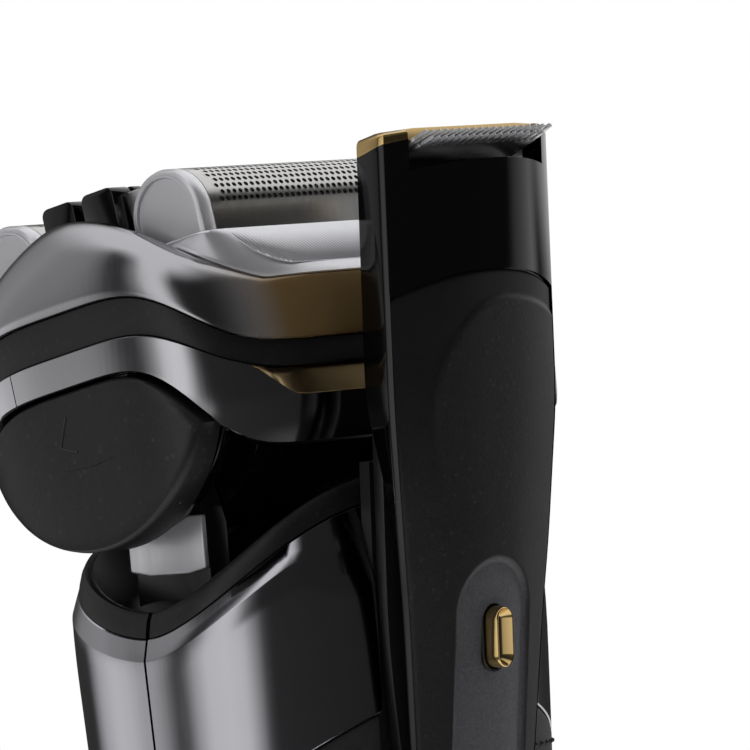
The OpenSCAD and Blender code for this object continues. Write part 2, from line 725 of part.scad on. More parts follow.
// Outline of a foil's arch, in Y and Z, down to a given height.
module arch(r, low) {
    translate([0, foil_axis_z]) circle(r);
    translate([-r, low]) square([2 * r, foil_axis_z - low]);
}
rail_low = 11.8;
rail_high = 14;
module foil(y) {
    color("#c9c8c4") at_head() translate([0, y, 0]) bar(foil_half) difference() {
        arch(foil_r, rail_low + 0.6);
        translate([0, -1]) arch(foil_r - foil_t, rail_low - 1);
        arch(foil_r - foil_t, rail_low - 1);
    }
}
module foil_frame(y) {
    rail_out = foil_r - foil_t - 0.05;
    color("#9da0a5") at_head() translate([0, y, 0]) {
        for (side = [-1, 1]) {
            translate([side * (foil_half + end_cap_t / 2), 0, 0]) bar(end_cap_t / 2) arch(foil_r, rail_low);
            translate([-foil_half - eps, side * (rail_out - 0.6) - 0.6, rail_low])
                cube([2 * foil_half + 2 * eps, 1.2, rail_high - rail_low]);
        }
    }
}
// A cutter is a row of half-round blades on a bar, with a socket for each post.
bar_low = 11.5;
cutter_half = foil_half - stroke - gap - 0.4;
blade_pitch = 2.2;
blade_t = 0.7;
module cutter_sockets() {
    for (side = [-1, 1])
        translate([side * post_x, 0, bar_low - 1]) cylinder(r = post_r + 0.2, h = 4.6);
}
module foil_cutter(y) {
    blade_r = foil_r - foil_t - 0.2;
    count = floor(2 * (cutter_half - blade_t) / blade_pitch);
    color("#8f9296") at_head() translate([0, y, 0]) difference() {
        union() {
            bar(cutter_half) translate([-2.2, bar_low]) square([4.4, foil_axis_z - bar_low + 1]);
            for (i = [0 : count])
                translate([(i - count / 2) * blade_pitch, 0, 0]) bar(blade_t / 2) difference() {
                    translate([0, foil_axis_z]) circle(blade_r);
                    translate([-10, foil_axis_z - 12]) square([20, 12]);
                }
        }
        cutter_sockets();
    }
}
module rear_foil() { foil(foil_y); }
module front_foil() { foil(-foil_y); }
module rear_foil_frame() { foil_frame(foil_y); }
module front_foil_frame() { foil_frame(-foil_y); }
module rear_cutter() { foil_cutter(foil_y); }
module front_cutter() { foil_cutter(-foil_y); }

// The middle elements: slotted channels with a toothed cutter inside.
middle_w = 5.2;
middle_wall = 0.6;
middle_top = foil_top + 0.4;
end_block = 2;
module middle_element(y) {
    half = foil_half + 1;
    slots = floor(2 * (half - end_block - 1) / (2 * tooth_pitch));
    color("#1a1a1c") at_head() translate([0, y, 0]) difference() {
        bar(half) {
            translate([-middle_w / 2, rail_low]) square([middle_w, middle_top - rail_low - 1]);
            translate([-middle_w / 2 + 1, middle_top - 2]) square([middle_w - 2, 2]);
            for (side = [-1, 1])
                translate([side * (middle_w / 2 - 1), middle_top - 1]) circle(1);
        }
        translate([-half + end_block, -middle_w / 2 + middle_wall, rail_low - 1])
            cube([2 * (half - end_block), middle_w - 2 * middle_wall, middle_top - middle_wall - rail_low + 1]);
        for (i = [0 : slots])
            translate([(i - slots / 2) * 2 * tooth_pitch - 0.4, -middle_w, middle_top - 2.4])
                cube([0.8, 2 * middle_w, 4]);
    }
}
module middle_cutter(y) {
    inner_w = middle_w - 2 * middle_wall - 0.4;
    top = middle_top - middle_wall - 0.2;
    teeth = floor(2 * (cutter_half - 2) / (2 * tooth_pitch));
    color("#a8aaae") at_head() translate([0, y, 0]) difference() {
        translate([-cutter_half + 1.4, -inner_w / 2, bar_low])
            cube([2 * cutter_half - 2.8, inner_w, top - bar_low]);
        for (i = [0 : teeth])
            translate([(i - teeth / 2) * 2 * tooth_pitch - 0.4, -middle_w, top - 1.8])
                cube([0.8, 2 * middle_w, 4]);
        cutter_sockets();
    }
}
module middle_trimmer() { middle_element(trimmer_y); }
module middle_comb() { middle_element(comb_y); }
module middle_trimmer_cutter() { middle_cutter(trimmer_y); }
module middle_comb_cutter() { middle_cutter(comb_y); }

guard_y = 5;
guard_w = 1.9;
module skin_guard() {
    half = foil_half - 1;
    teeth = floor(2 * half / (2 * tooth_pitch)) - 1;
    color("#c4c6ca") at_head() difference() {
        translate([-half, guard_y, rail_low]) cube([2 * half, guard_w, foil_top - 0.6 - rail_low]);
        for (i = [0 : teeth])
            translate([(i - teeth / 2) * 2 * tooth_pitch - 0.6, guard_y - 1, foil_top - 3])
                cube([1.2, guard_w + 2, 4]);
    }
}

// ---------------------------------------------------------------- precision trimmer

// Shares of the slider's length from its top, against its half-width and depths.
half_shape = [[0, 1], [0.33, 1], [0.52, 0.892], [0.61, 0.826], [0.8, 0.73], [1, 0.58]];
crown_shape = [[0, 9.9], [0.33, 9.2], [0.52, 8.8], [0.61, 8.4], [0.8, 7.1], [1, 5]];
edge_shape = [[0, 5.8], [0.33, 6.1], [0.52, 5.5], [0.61, 5.1], [0.8, 4.3], [1, 3.4]];
function slider_share(z) = min(1, max(0, -z / slider_len));
function slider_w(z) = slider_half * lookup(slider_share(z), half_shape);
function slider_crown(z) = lookup(slider_share(z), crown_shape);
function slider_edge(z) = lookup(slider_share(z), edge_shape);
// A point on the slider's outside, where u runs from one edge (1) to the other (-1).
function crown_point(z, u, inset) = [
    u * (slider_w(z) - 0.01),
    slider_edge(z) + (slider_crown(z) - slider_edge(z)) * (1 - pow(abs(u), 2.4)) - inset,
    z
];
crown_steps = [for (i = [0 : 20]) cos(i * 9)];
panel_share = 0.955;
panel_steps = [for (i = [0 : 18]) panel_share * cos(i * 10)];
shell_low = carriage_t;
function shell_ring(z, cut) = concat(
    [[slider_w(z), shell_low, z], [slider_w(z), slider_edge(z) - 0.6, z]],
    [for (u = crown_steps) crown_point(z, u, abs(u) < 0.97 ? cut : 0)],
    [[-slider_w(z), slider_edge(z) - 0.6, z], [-slider_w(z), shell_low, z]]
);
function hollow_side(z) = max(shell_low + 0.2, slider_edge(z) - slider_wall - 1);
function shell_hollow(z) = concat(
    [[slider_w(z) - slider_wall, shell_low, z], [slider_w(z) - slider_wall, hollow_side(z), z]],
    [for (u = crown_steps) let (p = crown_point(z, u * (1 - slider_wall / slider_w(z)), panel_t + slider_wall))
        [p.x, max(p.y, hollow_side(z) + 0.02), z]],
    [[-slider_w(z) + slider_wall, hollow_side(z), z], [-slider_w(z) + slider_wall, shell_low, z]]
);
slider_levels = [slider_end, -78, -70, -62, -53, -45, -37, -29, panel_top];

blade_y = 6.1;
blade_z = 1;
blade_tilt = 26;
module blade_frame() {
    translate([0, blade_y, blade_z]) rotate([blade_tilt, 0, 0]) children();
}
blade_reach = 4.1;
blade_t2 = 0.45;
// The slot that the comb and its cutter come out of.
module blade_slot() {
    blade_frame() translate([-comb_half - 0.4, -3.4, -2.9]) cube([2 * comb_half + 0.8, 12, 3.4]);
}

module slider_shell() {
    levels = concat(slider_levels, [panel_top + eps, -8, 0]);
    function cut(z) = z > panel_top ? 0 : panel_t;
    color("#0e0e10") at_slider() difference() {
        union() {
            wall_loft([for (z = levels) shell_ring(z, cut(z))], [for (z = levels) shell_hollow(z)], false);
            translate([-slider_w(slider_end) + 1, shell_low, slider_end + 0.2])
                cube([2 * slider_w(slider_end) - 2, hollow_side(slider_end) - shell_low + 1.6, 2]);
        }
        blade_slot();
        latch_outline(0.2, 0, 12);
    }
}

// A rounded bar outline for the latch button, from one depth to another.
module latch_outline(margin, low, high) {
    straight = latch_len - latch_w;
    translate([0, low, latch_z]) rotate([-90, 0, 0]) linear_extrude(high - low) {
        for (side = [-1, 1])
            translate([0, side * straight / 2]) circle(latch_w / 2 + margin);
        square([latch_w + 2 * margin, straight], center = true);
    }
}
recess_half = 6.2;
recess_top = -46.5;
recess_low = -76;
module slider_panel() {
    levels = [for (z = slider_levels) z < panel_top ? z : panel_top - 0.1];
    color("#3b3c3f") at_slider() difference() {
        wall_loft([for (z = levels) [for (u = panel_steps) crown_point(z, u, 0)]],
            [for (z = levels) [for (u = panel_steps) crown_point(z, u, panel_t - 0.04)]], false);
        translate([0, 2, 0]) rotate([-90, 0, 0]) linear_extrude(12) {
            translate([0, -(recess_top - recess_half)]) circle(recess_half);
            translate([-recess_half, -(recess_top - recess_half)])
                square([2 * recess_half, recess_top - recess_half - recess_low]);
        }
    }
}
module slider_carriage() {
    low = slider_end + 1;
    color("#a9abaf") at_slider() {
        translate([0, carriage_t - 0.02, 0]) rotate([90, 0, 0]) linear_extrude(carriage_t - 0.02)
            polygon([[-slider_w(low) + 0.5, low], [slider_w(low) - 0.5, low],
                [min(carriage_half, slider_w(-70) - 0.4), -70], [carriage_half, -57], [carriage_half, -0.4],
                [-carriage_half, -0.4], [-carriage_half, -57], [-min(carriage_half, slider_w(-70) - 0.4), -70]]);
        translate([0, carriage_t - 0.1, lever_pivot]) rotate([-90, 0, 0]) cylinder(r = pivot_r, h = 4);
    }
}
lever_pivot = -26;
pivot_r = 1.2;
lever_y = 3;
lever_t = 1.4;
lever_low = -46;
lever_top = -6;
module trimmer_lever() {
    color("#caccd0") at_slider() difference() {
        translate([0, lever_y + lever_t, 0]) rotate([90, 0, 0]) linear_extrude(lever_t) {
            translate([-1.3, lever_low]) square([2.6, lever_top - lever_low]);
            translate([0, lever_pivot]) circle(3);
        }
        translate([0, 0, lever_pivot]) rotate([-90, 0, 0]) cylinder(r = pivot_r + running_fit, h = 10);
    }
}
module toothed_plate(half, reach, thick) {
    teeth = floor(2 * half / tooth_pitch) - 1;
    difference() {
        translate([-half, -2.6, 0]) cube([2 * half, reach + 2.6, thick]);
        for (i = [0 : teeth])
            translate([(i - teeth / 2) * tooth_pitch - 0.3, reach - 1.7, -1]) cube([0.6, 3, thick + 2]);
    }
}
module trimmer_comb() {
    color("#d2d3d6") at_slider() blade_frame() toothed_plate(comb_half, blade_reach, blade_t2);
}
module trimmer_cutter() {
    half = comb_half - stroke - gap;
    color("#b4b6ba") at_slider() {
        blade_frame() translate([0, 0, -blade_t2 - 0.1]) toothed_plate(half, blade_reach - 0.4, blade_t2);
        blade_frame() translate([-4, -2.6, -2.6]) cube([8, 2, 2.2]);
    }
}
// The cap is cut back over the comb so that the teeth stand clear of it.
cap_front = 0.8;
module gold_cap() {
    function cap_ring(z, inset, rise) = [for (p = shell_ring(0, 0))
        let (r = (slider_w(0) - inset) / slider_w(0), y = p.y - inset * (p.y > 3 ? 1 : 0))
            [p.x * r, y, z + rise * y / slider_crown(0)]];
    color("#c8a04a") at_slider() difference() {
        solid_loft([cap_ring(0.05, 0, 0), cap_ring(1.4, 0, 1), cap_ring(1.8, 0.4, 1.6), cap_ring(1.9, 1.2, 1.8)]);
        blade_slot();
        blade_frame() translate([-comb_half - 0.4, cap_front, -3]) cube([2 * comb_half + 0.8, 12, 12]);
    }
}
module latch_button() {
    color("#c8a04a") at_slider() {
        difference() {
            latch_outline(0, 4.6, slider_crown(latch_z) + 1.3);
            translate([-4, slider_crown(latch_z) + 4.2, latch_z]) rotate([0, 90, 0]) cylinder(r = 3.4, h = 8);
        }
        translate([-latch_w / 2 - 0.8, 4, latch_z - latch_len / 2 - 0.8])
            cube([latch_w + 1.6, 1.2, latch_len + 1.6]);
    }
}

// ---------------------------------------------------------------- drawing

front_shell();
rear_shell();
front_collar();
rear_collar();
shoulder();
neck_yoke();
neck_plate_left();
neck_plate_right();
grip_rear_left();
grip_rear_right();
grip_front();
front_panel();
power_ring();
power_button();
lock_switch();
chassis();
battery();
circuit_board();
trimmer_motor();
charging_inlet();
inlet_pins();
bottom_cap();
bottom_seal();
case_screws();
trimmer_guide();
head_base();
swivel_pins();
head_band();
rear_bezel();
front_bezel();
head_dome();
release_button_left();
release_button_right();
linear_motor();
drive_bridge();
cassette_frame();
rear_trim();
front_trim();
rear_foil();
rear_foil_frame();
rear_cutter();
front_foil();
front_foil_frame();
front_cutter();
middle_trimmer();
middle_trimmer_cutter();
middle_comb();
middle_comb_cutter();
skin_guard();
slider_shell();
slider_panel();
slider_carriage();
gold_cap();
trimmer_comb();
trimmer_cutter();
trimmer_lever();
latch_button();
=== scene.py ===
"""Looks of the cordless foil shaver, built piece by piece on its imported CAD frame.

Lengths in this script are in millimetres in the frame of the part, and become
metres where a mesh is made. Head pieces are drawn in the head's own frame, which
sits on the swivel axis, and trimmer pieces in the frame of the sliding trimmer.
"""

import json
import math
from contextlib import contextmanager

import bmesh
import bpy
from mathutils import Matrix, Vector


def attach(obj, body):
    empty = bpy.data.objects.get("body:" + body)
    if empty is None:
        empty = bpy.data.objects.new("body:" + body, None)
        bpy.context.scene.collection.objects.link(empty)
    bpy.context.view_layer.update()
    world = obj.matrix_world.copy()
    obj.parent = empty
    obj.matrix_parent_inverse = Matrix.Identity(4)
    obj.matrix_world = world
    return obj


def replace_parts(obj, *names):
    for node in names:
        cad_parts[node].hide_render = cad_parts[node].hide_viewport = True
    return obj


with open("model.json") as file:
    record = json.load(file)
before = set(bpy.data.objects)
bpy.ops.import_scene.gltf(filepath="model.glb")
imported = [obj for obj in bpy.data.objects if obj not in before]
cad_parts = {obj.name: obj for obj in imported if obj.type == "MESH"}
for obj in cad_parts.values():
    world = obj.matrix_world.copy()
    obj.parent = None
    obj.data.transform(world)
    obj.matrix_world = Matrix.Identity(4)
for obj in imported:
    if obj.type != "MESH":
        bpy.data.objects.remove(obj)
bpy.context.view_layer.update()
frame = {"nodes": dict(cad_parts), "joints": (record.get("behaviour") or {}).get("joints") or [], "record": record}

MM = 0.001
joints = {j["name"]: j for j in frame["joints"]}

# ---------------------------------------------------------------- sizes, from the part

HANDLE_HALF_W = 29
HANDLE_HALF_D = 21.8
HANDLE_SQUARE = 2.8
RIM_SIDE_Z = 112.2
RIM_BACK_RISE = 14
RIM_FRONT_RISE = 9
SHELL_LOW_Z = 3.2
SHELL_WALL = 2.2
GRIP_T = 1
GRIP_TOP_Z = 103
COLLAR_H = 3
WIDTH_SHAPE = [(0, 0.84), (0.1, 0.875), (0.36, 0.885), (0.62, 0.92), (0.85, 0.975), (1, 1), (1.15, 0.985)]
DEPTH_SHAPE = [(0, 0.78), (0.1, 0.82), (0.36, 0.845), (0.62, 0.905), (0.85, 0.965), (1, 1), (1.15, 0.985)]

HEAD_HALF_W = 33
HEAD_HALF_D = 23.8
HEAD_SQUARE = 4.5
LOW_SHARP = 11
TOP_SHARP = 9
TRIM_WALL = 1.6
TRIM_TOP_MID = -2.9
TRIM_TOP_SIDE = 4.7
TRIM_BACK_LOW = -11.6
TRIM_FRONT_LOW = -5.6
TRIM_SIDE_LOW = 0.8
TRIM_SPLIT = 186.5
LOBE_R = 18.4
LEDGE_TOP = 14.2
LEDGE_LOW = 7.8
DOME_LOW_MID = 0.1
DOME_LOW_SIDE = 9.3
DOME_PEAK = 20

FOIL_HALF = 23
FOIL_R = 5.5
FOIL_T = 0.3
FOIL_Y = 13.1
FOIL_AXIS_Z = 17.3
RAIL_LOW = 11.8
END_CAP_T = 2.2

SLIDER_LEN = 87
SLIDER_HALF = 14.4
CARRIAGE_T = 1.5
PANEL_TOP = -15
PANEL_T = 0.7
COMB_HALF = 11.2
TOOTH_PITCH = 1.2
LATCH_Z = -55.6
LATCH_LEN = 7.3
LATCH_W = 3.2
RECESS_HALF = 6.2
RECESS_TOP = -46.5
RECESS_LOW = -76
HALF_SHAPE = [(0, 1), (0.33, 1), (0.52, 0.892), (0.61, 0.826), (0.8, 0.73), (1, 0.58)]
CROWN_SHAPE = [(0, 9.9), (0.33, 9.2), (0.52, 8.8), (0.61, 8.4), (0.8, 7.1), (1, 5)]
EDGE_SHAPE = [(0, 5.8), (0.33, 6.1), (0.52, 5.5), (0.61, 5.1), (0.8, 4.3), (1, 3.4)]
LEVER_PIVOT = Vector((0, 3, -26))

# The head's frame comes from its swivel and lift joints, and the trimmer's from
# its lever's pivot and its slide.
WORLD = Matrix.Identity(4)
lift = Vector(joints["cassette_lift"]["axis"])
head_turn = Matrix.Rotation(math.atan2(-lift.y, lift.z), 4, "X")
HEAD = Matrix.Translation(Vector(joints["head_swivel"]["pos_m"]) / MM) @ head_turn
along = Vector(joints["trimmer_slide"]["axis"])
slider_turn = Matrix.Rotation(-math.atan2(along.y, along.z), 4, "X")
lever_at = Vector(joints["trimmer_rock"]["pos_m"]) / MM
SLIDER = Matrix.Translation(lever_at - slider_turn @ LEVER_PIVOT) @ slider_turn

# ---------------------------------------------------------------- shapes shared with the part


def lookup(rows, x):
    for (x0, y0), (x1, y1) in zip(rows, rows[1:]):
        if x <= x1:
            return y0 + (y1 - y0) * max(0, x - x0) / (x1 - x0)
    return rows[-1][1]


def mixed(a, b, k):
    return a + (b - a) * k


def eased(low, high, x):
    k = min(1, max(0, (x - low) / (high - low)))
    return k * k * (3 - 2 * k)


def power_of(v, e):
    return math.copysign(abs(v) ** e, v)


def oval(a, b, n, t):
    return a * power_of(math.cos(t), 2 / n), b * power_of(math.sin(t), 2 / n)


def even_angles(a, b, n, first, last, count):
    """Angles from first to last, in degrees, that step evenly along an oval's edge."""
    small_steps = 1440
    fine = [math.radians(mixed(first, last, i / small_steps)) for i in range(small_steps + 1)]
    walked = [0]
    for t0, t1 in zip(fine, fine[1:]):
        walked.append(walked[-1] + math.dist(oval(a, b, n, t0), oval(a, b, n, t1)))
    angles = []
    k = 0
    for i in range(count + 1):
        goal = walked[-1] * i / count
        while k < small_steps - 1 and walked[k + 1] < goal:
            k += 1
        span = walked[k + 1] - walked[k]
        angles.append(mixed(fine[k], fine[k + 1], (goal - walked[k]) / span if span else 0))
    return angles


def handle_angles(first, last, count):
    return even_angles(HANDLE_HALF_W, HANDLE_HALF_D, HANDLE_SQUARE, first, last, count)


def head_angles(first, last, count):
    return even_angles(HEAD_HALF_W, HEAD_HALF_D, HEAD_SQUARE, first, last, count)


def smooth_lookup(rows, x):
    """The table with its corners eased, so that a polished face shows no kink."""
    reach = 0.035
    return sum(lookup(rows, min(rows[-1][0], max(0, x + reach * k))) for k in (-1, -0.5, 0, 0.5, 1)) / 5


def half_width(z):
    return HANDLE_HALF_W * smooth_lookup(WIDTH_SHAPE, z / RIM_SIDE_Z)


def half_depth(z):
    return HANDLE_HALF_D * smooth_lookup(DEPTH_SHAPE, z / RIM_SIDE_Z)


def handle_point(t, z, inset):
    return (*oval(half_width(z) - inset, half_depth(z) - inset, HANDLE_SQUARE, t), z)


def rim_z(t):
    rise = RIM_BACK_RISE if math.sin(t) >= 0 else RIM_FRONT_RISE
    return RIM_SIDE_Z + rise * (abs(math.sin(t)) ** (2 / HANDLE_SQUARE)) ** 1.7


def grip_z(t):
    return GRIP_TOP_Z - 10 * abs(math.cos(t)) ** 1.6


def side_share(t):
    return abs(math.cos(t)) ** (2 / HEAD_SQUARE)


def head_line(t, long_face, side, sharp):
    """Height of a line round the head: long_face on its long faces, and side at its ends."""
    return long_face + (side - long_face) * side_share(t) ** sharp


def dome_low(t):
    return head_line(t, DOME_LOW_MID, DOME_LOW_SIDE, TOP_SHARP)


def dome_top(t):
    long_face = LEDGE_LOW - 0.3
    across = min(1, 1.06 * abs(math.sin(t)) ** (2 / HEAD_SQUARE))
    return long_face + (DOME_PEAK - long_face) * (1 - across**1.7)


def trim_top(t):
    return head_line(t, TRIM_TOP_MID, TRIM_TOP_SIDE, TOP_SHARP)


def trim_low(t):
    return head_line(t, TRIM_BACK_LOW if math.sin(t) > 0 else TRIM_FRONT_LOW, TRIM_SIDE_LOW, LOW_SHARP)


def head_point(t, z, inset_x, inset_y=None):
    inset_y = inset_x if inset_y is None else inset_y
    return (*oval(HEAD_HALF_W - inset_x, HEAD_HALF_D - inset_y, HEAD_SQUARE, t), z)


def end_share(y, half):
    """How far out the head's rounded end stands at y, as a share of its furthest."""
    return (1 - min(1, abs(y) / half) ** HEAD_SQUARE) ** (1 / HEAD_SQUARE)


def slider_w(z):
    return SLIDER_HALF * smooth_lookup(HALF_SHAPE, -z / SLIDER_LEN)


def slider_crown(z):
    return smooth_lookup(CROWN_SHAPE, -z / SLIDER_LEN)


def slider_edge(z):
    return smooth_lookup(EDGE_SHAPE, -z / SLIDER_LEN)


def crown_point(z, u, inset):
    """A point on the trimmer's outside, where u runs from one edge, 1, to the other, -1."""
    edge = slider_edge(z)
    return u * slider_w(z), edge + (slider_crown(z) - edge) * (1 - abs(u) ** 2.4) - inset, z


# ---------------------------------------------------------------- mesh tools


@contextmanager
def edited(mesh, source=None):
    """Opens a mesh, or a copy of source, to work on its points and faces."""
    bm = bmesh.new()
    bm.from_mesh(source or mesh)
    yield bm
    bm.to_mesh(mesh)
    bm.free()


def smoothed(piece, sharp=30):
    """Shades the piece smooth, but for the edges that turn by more than sharp degrees."""
    piece.data.shade_smooth()
    piece.data.set_sharp_from_angle(angle=math.radians(sharp))
    return piece


def linked(name, mesh):
    """An object for the mesh, which is in metres."""
    mesh.name = name
    piece = bpy.data.objects.new(name, mesh)
    bpy.context.scene.collection.objects.link(piece)
    return piece


def raw_mesh(name, points, edges, faces, place=WORLD):
    mesh = bpy.data.meshes.new(name)
    mesh.from_pydata([(place @ Vector(p)) * MM for p in points], edges, faces)
    return mesh


def from_points(name, points, faces, place=WORLD, sharp=30):
    """A closed piece from points in millimetres, with its faces turned outwards."""
    mesh = raw_mesh(name, points, [], faces, place)
    with edited(mesh) as bm:
        bmesh.ops.remove_doubles(bm, verts=bm.verts, dist=1e-6)
        bmesh.ops.dissolve_degenerate(bm, edges=bm.edges, dist=1e-7)
        bmesh.ops.recalc_face_normals(bm, faces=bm.faces)
    return smoothed(linked(name, mesh), sharp)


def grid_faces(rows, columns, round_rows, round_columns):
    """Quads between rows of points, where either way may close on itself."""
    faces = []
    for i in range(rows if round_rows else rows - 1):
        for j in range(columns if round_columns else columns - 1):
            k = (i + 1) % rows
            m = (j + 1) % columns
            faces.append((i * columns + j, i * columns + m, k * columns + m, k * columns + j))
    return faces


def grid_rim(rows, columns):
    """The points round the edge of a grid, in order."""
    last = (rows - 1) * columns
    rim = list(range(columns)) + [r * columns + columns - 1 for r in range(1, rows)]
    rim += range(last + columns - 2, last - 1, -1)
    return rim + [r * columns for r in range(rows - 2, 0, -1)]


def swept(name, sections, closed, place=WORLD, sharp=30):
    """A piece through a run of closed sections, round in a ring or with flat ends."""
    count = len(sections[0])
    faces = grid_faces(len(sections), count, closed, True)
    if not closed:
        faces.append(tuple(range(count)))
        faces.append(tuple(range((len(sections) - 1) * count, len(sections) * count)))
    return from_points(name, [p for s in sections for p in s], faces, place, sharp)


def plain_mesh(piece):
    """The piece with its modifiers turned into plain mesh."""
    graph = bpy.context.evaluated_depsgraph_get()
    made = bpy.data.meshes.new_from_object(piece.evaluated_get(graph))
    piece.modifiers.clear()
    old = piece.data
    made.name = piece.name
    piece.data = made
    bpy.data.meshes.remove(old)
    return piece


def beveled(piece, width, angle=35):
    """Rounds the piece's sharp edges by width, in millimetres."""
    rounding = piece.modifiers.new("rounding", "BEVEL")
    rounding.width = width * MM
    rounding.segments = 2
    rounding.limit_method = "ANGLE"
    rounding.angle_limit = math.radians(angle)
    rounding.harden_normals = False
    return plain_mesh(piece)


def cut(piece, *cutters):
    """Cuts the cutters out of the piece and removes them."""
    for cutter in cutters:
        cutting = piece.modifiers.new("cut", "BOOLEAN")
        cutting.operation = "DIFFERENCE"
        cutting.solver = "EXACT"
        cutting.object = cutter
        plain_mesh(piece)
        bpy.data.objects.remove(cutter)
    return piece


def block(low, high, place=WORLD):
    """A box to cut with, between two corners in millimetres."""
    corners = [(x, y, z) for z in (low[2], high[2]) for y in (low[1], high[1]) for x in (low[0], high[0])]
    faces = [(0, 2, 3, 1), (4, 5, 7, 6), (0, 1, 5, 4), (2, 6, 7, 3), (0, 4, 6, 2), (1, 3, 7, 5)]
    return from_points("cutter", corners, faces, place)


def prism(name, outline, low, high, place):
    """A straight prism: outline holds (x, z) points, and it runs in Y from low to high."""
    return swept(name, [[(x, y, z) for x, z in outline] for y in (low, high)], False, place)


def joined(name, parts):
    """Several pieces made into one mesh."""
    bm = bmesh.new()
    for part in parts:
        bm.from_mesh(part.data)
    mesh = bpy.data.meshes.new(name)
    bm.to_mesh(mesh)
    bm.free()
    for part in parts:
        bpy.data.objects.remove(part)
    return smoothed(linked(name, mesh))


def softened(node_name, width, angle=35):
    """A copy of a CAD node with its doubles merged and its sharp edges rounded."""
    name = node_name + "_piece"
    mesh = bpy.data.meshes.new(name)
    with edited(mesh, frame["nodes"][node_name].data) as bm:
        bmesh.ops.remove_doubles(bm, verts=bm.verts, dist=2e-6)
        bmesh.ops.dissolve_limit(bm, angle_limit=math.radians(0.6), verts=bm.verts, edges=bm.edges)
    piece = smoothed(linked(name, mesh))
    return smoothed(beveled(piece, width, angle)) if width else piece


node_body = {n: b for b, members in frame["record"]["behaviour"]["bodies"].items() for n in members}


def detail(piece, material, node_name):
    """Gives a piece its finish, and has it ride with a CAD node's body."""
    piece.data.materials.clear()
    piece.data.materials.append(material)
    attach(piece, node_body[node_name])
    return piece


def fit(piece, material, node_name):
    """Gives a piece its finish and puts it in the place of its CAD node."""
    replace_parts(detail(piece, material, node_name), node_name)
    return piece


def fit_softened(finishes):
    """Softens CAD nodes, each by its rounding in millimetres from its least angle, in its finish."""
    for node_name, (width, angle, material) in finishes.items():
        fit(softened(node_name, width, angle), material, node_name)


# ---------------------------------------------------------------- materials


def linear(hex_colour):
    """An sRGB hex colour as linear red, green and blue, with an alpha of 1."""
    parts = [int(hex_colour[i : i + 2], 16) / 255 for i in (1, 3, 5)]
    return (*[p / 12.92 if p <= 0.04045 else ((p + 0.055) / 1.055) ** 2.4 for p in parts], 1)


def feed(tree, node, inputs):
    """Gives each input its value, or links it to a socket or to a node's first output."""
    for socket, value in inputs.items():
        if isinstance(value, bpy.types.Node):
            value = value.outputs[0]
        if isinstance(value, bpy.types.NodeSocket):
            tree.links.new(value, node.inputs[socket])
        else:
            node.inputs[socket].default_value = value


def add(tree, kind, inputs=None, **settings):
    """Adds a node with its settings and its inputs."""
    made = tree.nodes.new(kind)
    for name, value in settings.items():
        setattr(made, name, value)
    feed(tree, made, inputs or {})
    return made


# Input and output numbers of a Mix node's factor, its two colours, and its result.
SHARE, FROM, TO, RESULT = 0, 6, 7, 2
# The middle of a noise's range, where nearly all of it lies.
NOISE_RANGE = {"From Min": 0.3, "From Max": 0.7}


def new_material(name, hex_colour, metallic, roughness, **extra):
    """A material with its shader, and its piece coordinates in millimetres."""
    material = bpy.data.materials.new(name)
    material.use_nodes = True
    tree = material.node_tree
    shader = tree.nodes["Principled BSDF"]
    finish = {"Base Color": linear(hex_colour), "Metallic": metallic, "Roughness": roughness}
    feed(tree, shader, {**finish, **extra})
    place = add(tree, "ShaderNodeTexCoord").outputs["Object"]
    per_metre = (1 / MM, 1 / MM, 1 / MM)
    mm = add(tree, "ShaderNodeVectorMath", {0: place, 1: per_metre}, operation="MULTIPLY")
    return material, tree, shader, mm


def lumps(tree, mm, pitch, octaves, stretch=1):
    """Soft lumps about pitch millimetres across, drawn out upwards by stretch."""
    scale = (1 / pitch, 1 / pitch, 1 / (pitch * stretch))
    laid = add(tree, "ShaderNodeMapping", {"Vector": mm, "Scale": scale})
    return add(tree, "ShaderNodeTexNoise", {"Vector": laid, "Scale": 1, "Detail": octaves})


def polished(name, hex_colour, roughness, metallic=1.0, wear=0.06):
    """A bright finish: its gloss varies a little with handling, in soft patches of some 9 mm, with faint
    upright polishing lines drawn 0.5 mm apart, coarser than real ones so that they show."""
    material, tree, shader, mm = new_material(name, hex_colour, metallic, roughness)
    lines = lumps(tree, mm, 0.5, 1, 24)
    both = add(tree, "ShaderNodeMath", {0: lumps(tree, mm, 9, 3), 1: lines}, operation="ADD")
    half = add(tree, "ShaderNodeMath", {0: both, 1: 0.5}, operation="MULTIPLY")
    gloss = {"To Min": roughness - wear / 2, "To Max": roughness + wear / 2}
    worn = add(tree, "ShaderNodeMapRange", {"Value": half, **NOISE_RANGE, **gloss})
    relief = add(tree, "ShaderNodeBump", {"Height": lines, "Distance": 0.004 * MM, "Strength": 0.35})
    feed(tree, shader, {"Roughness": worn, "Normal": relief})
    return material


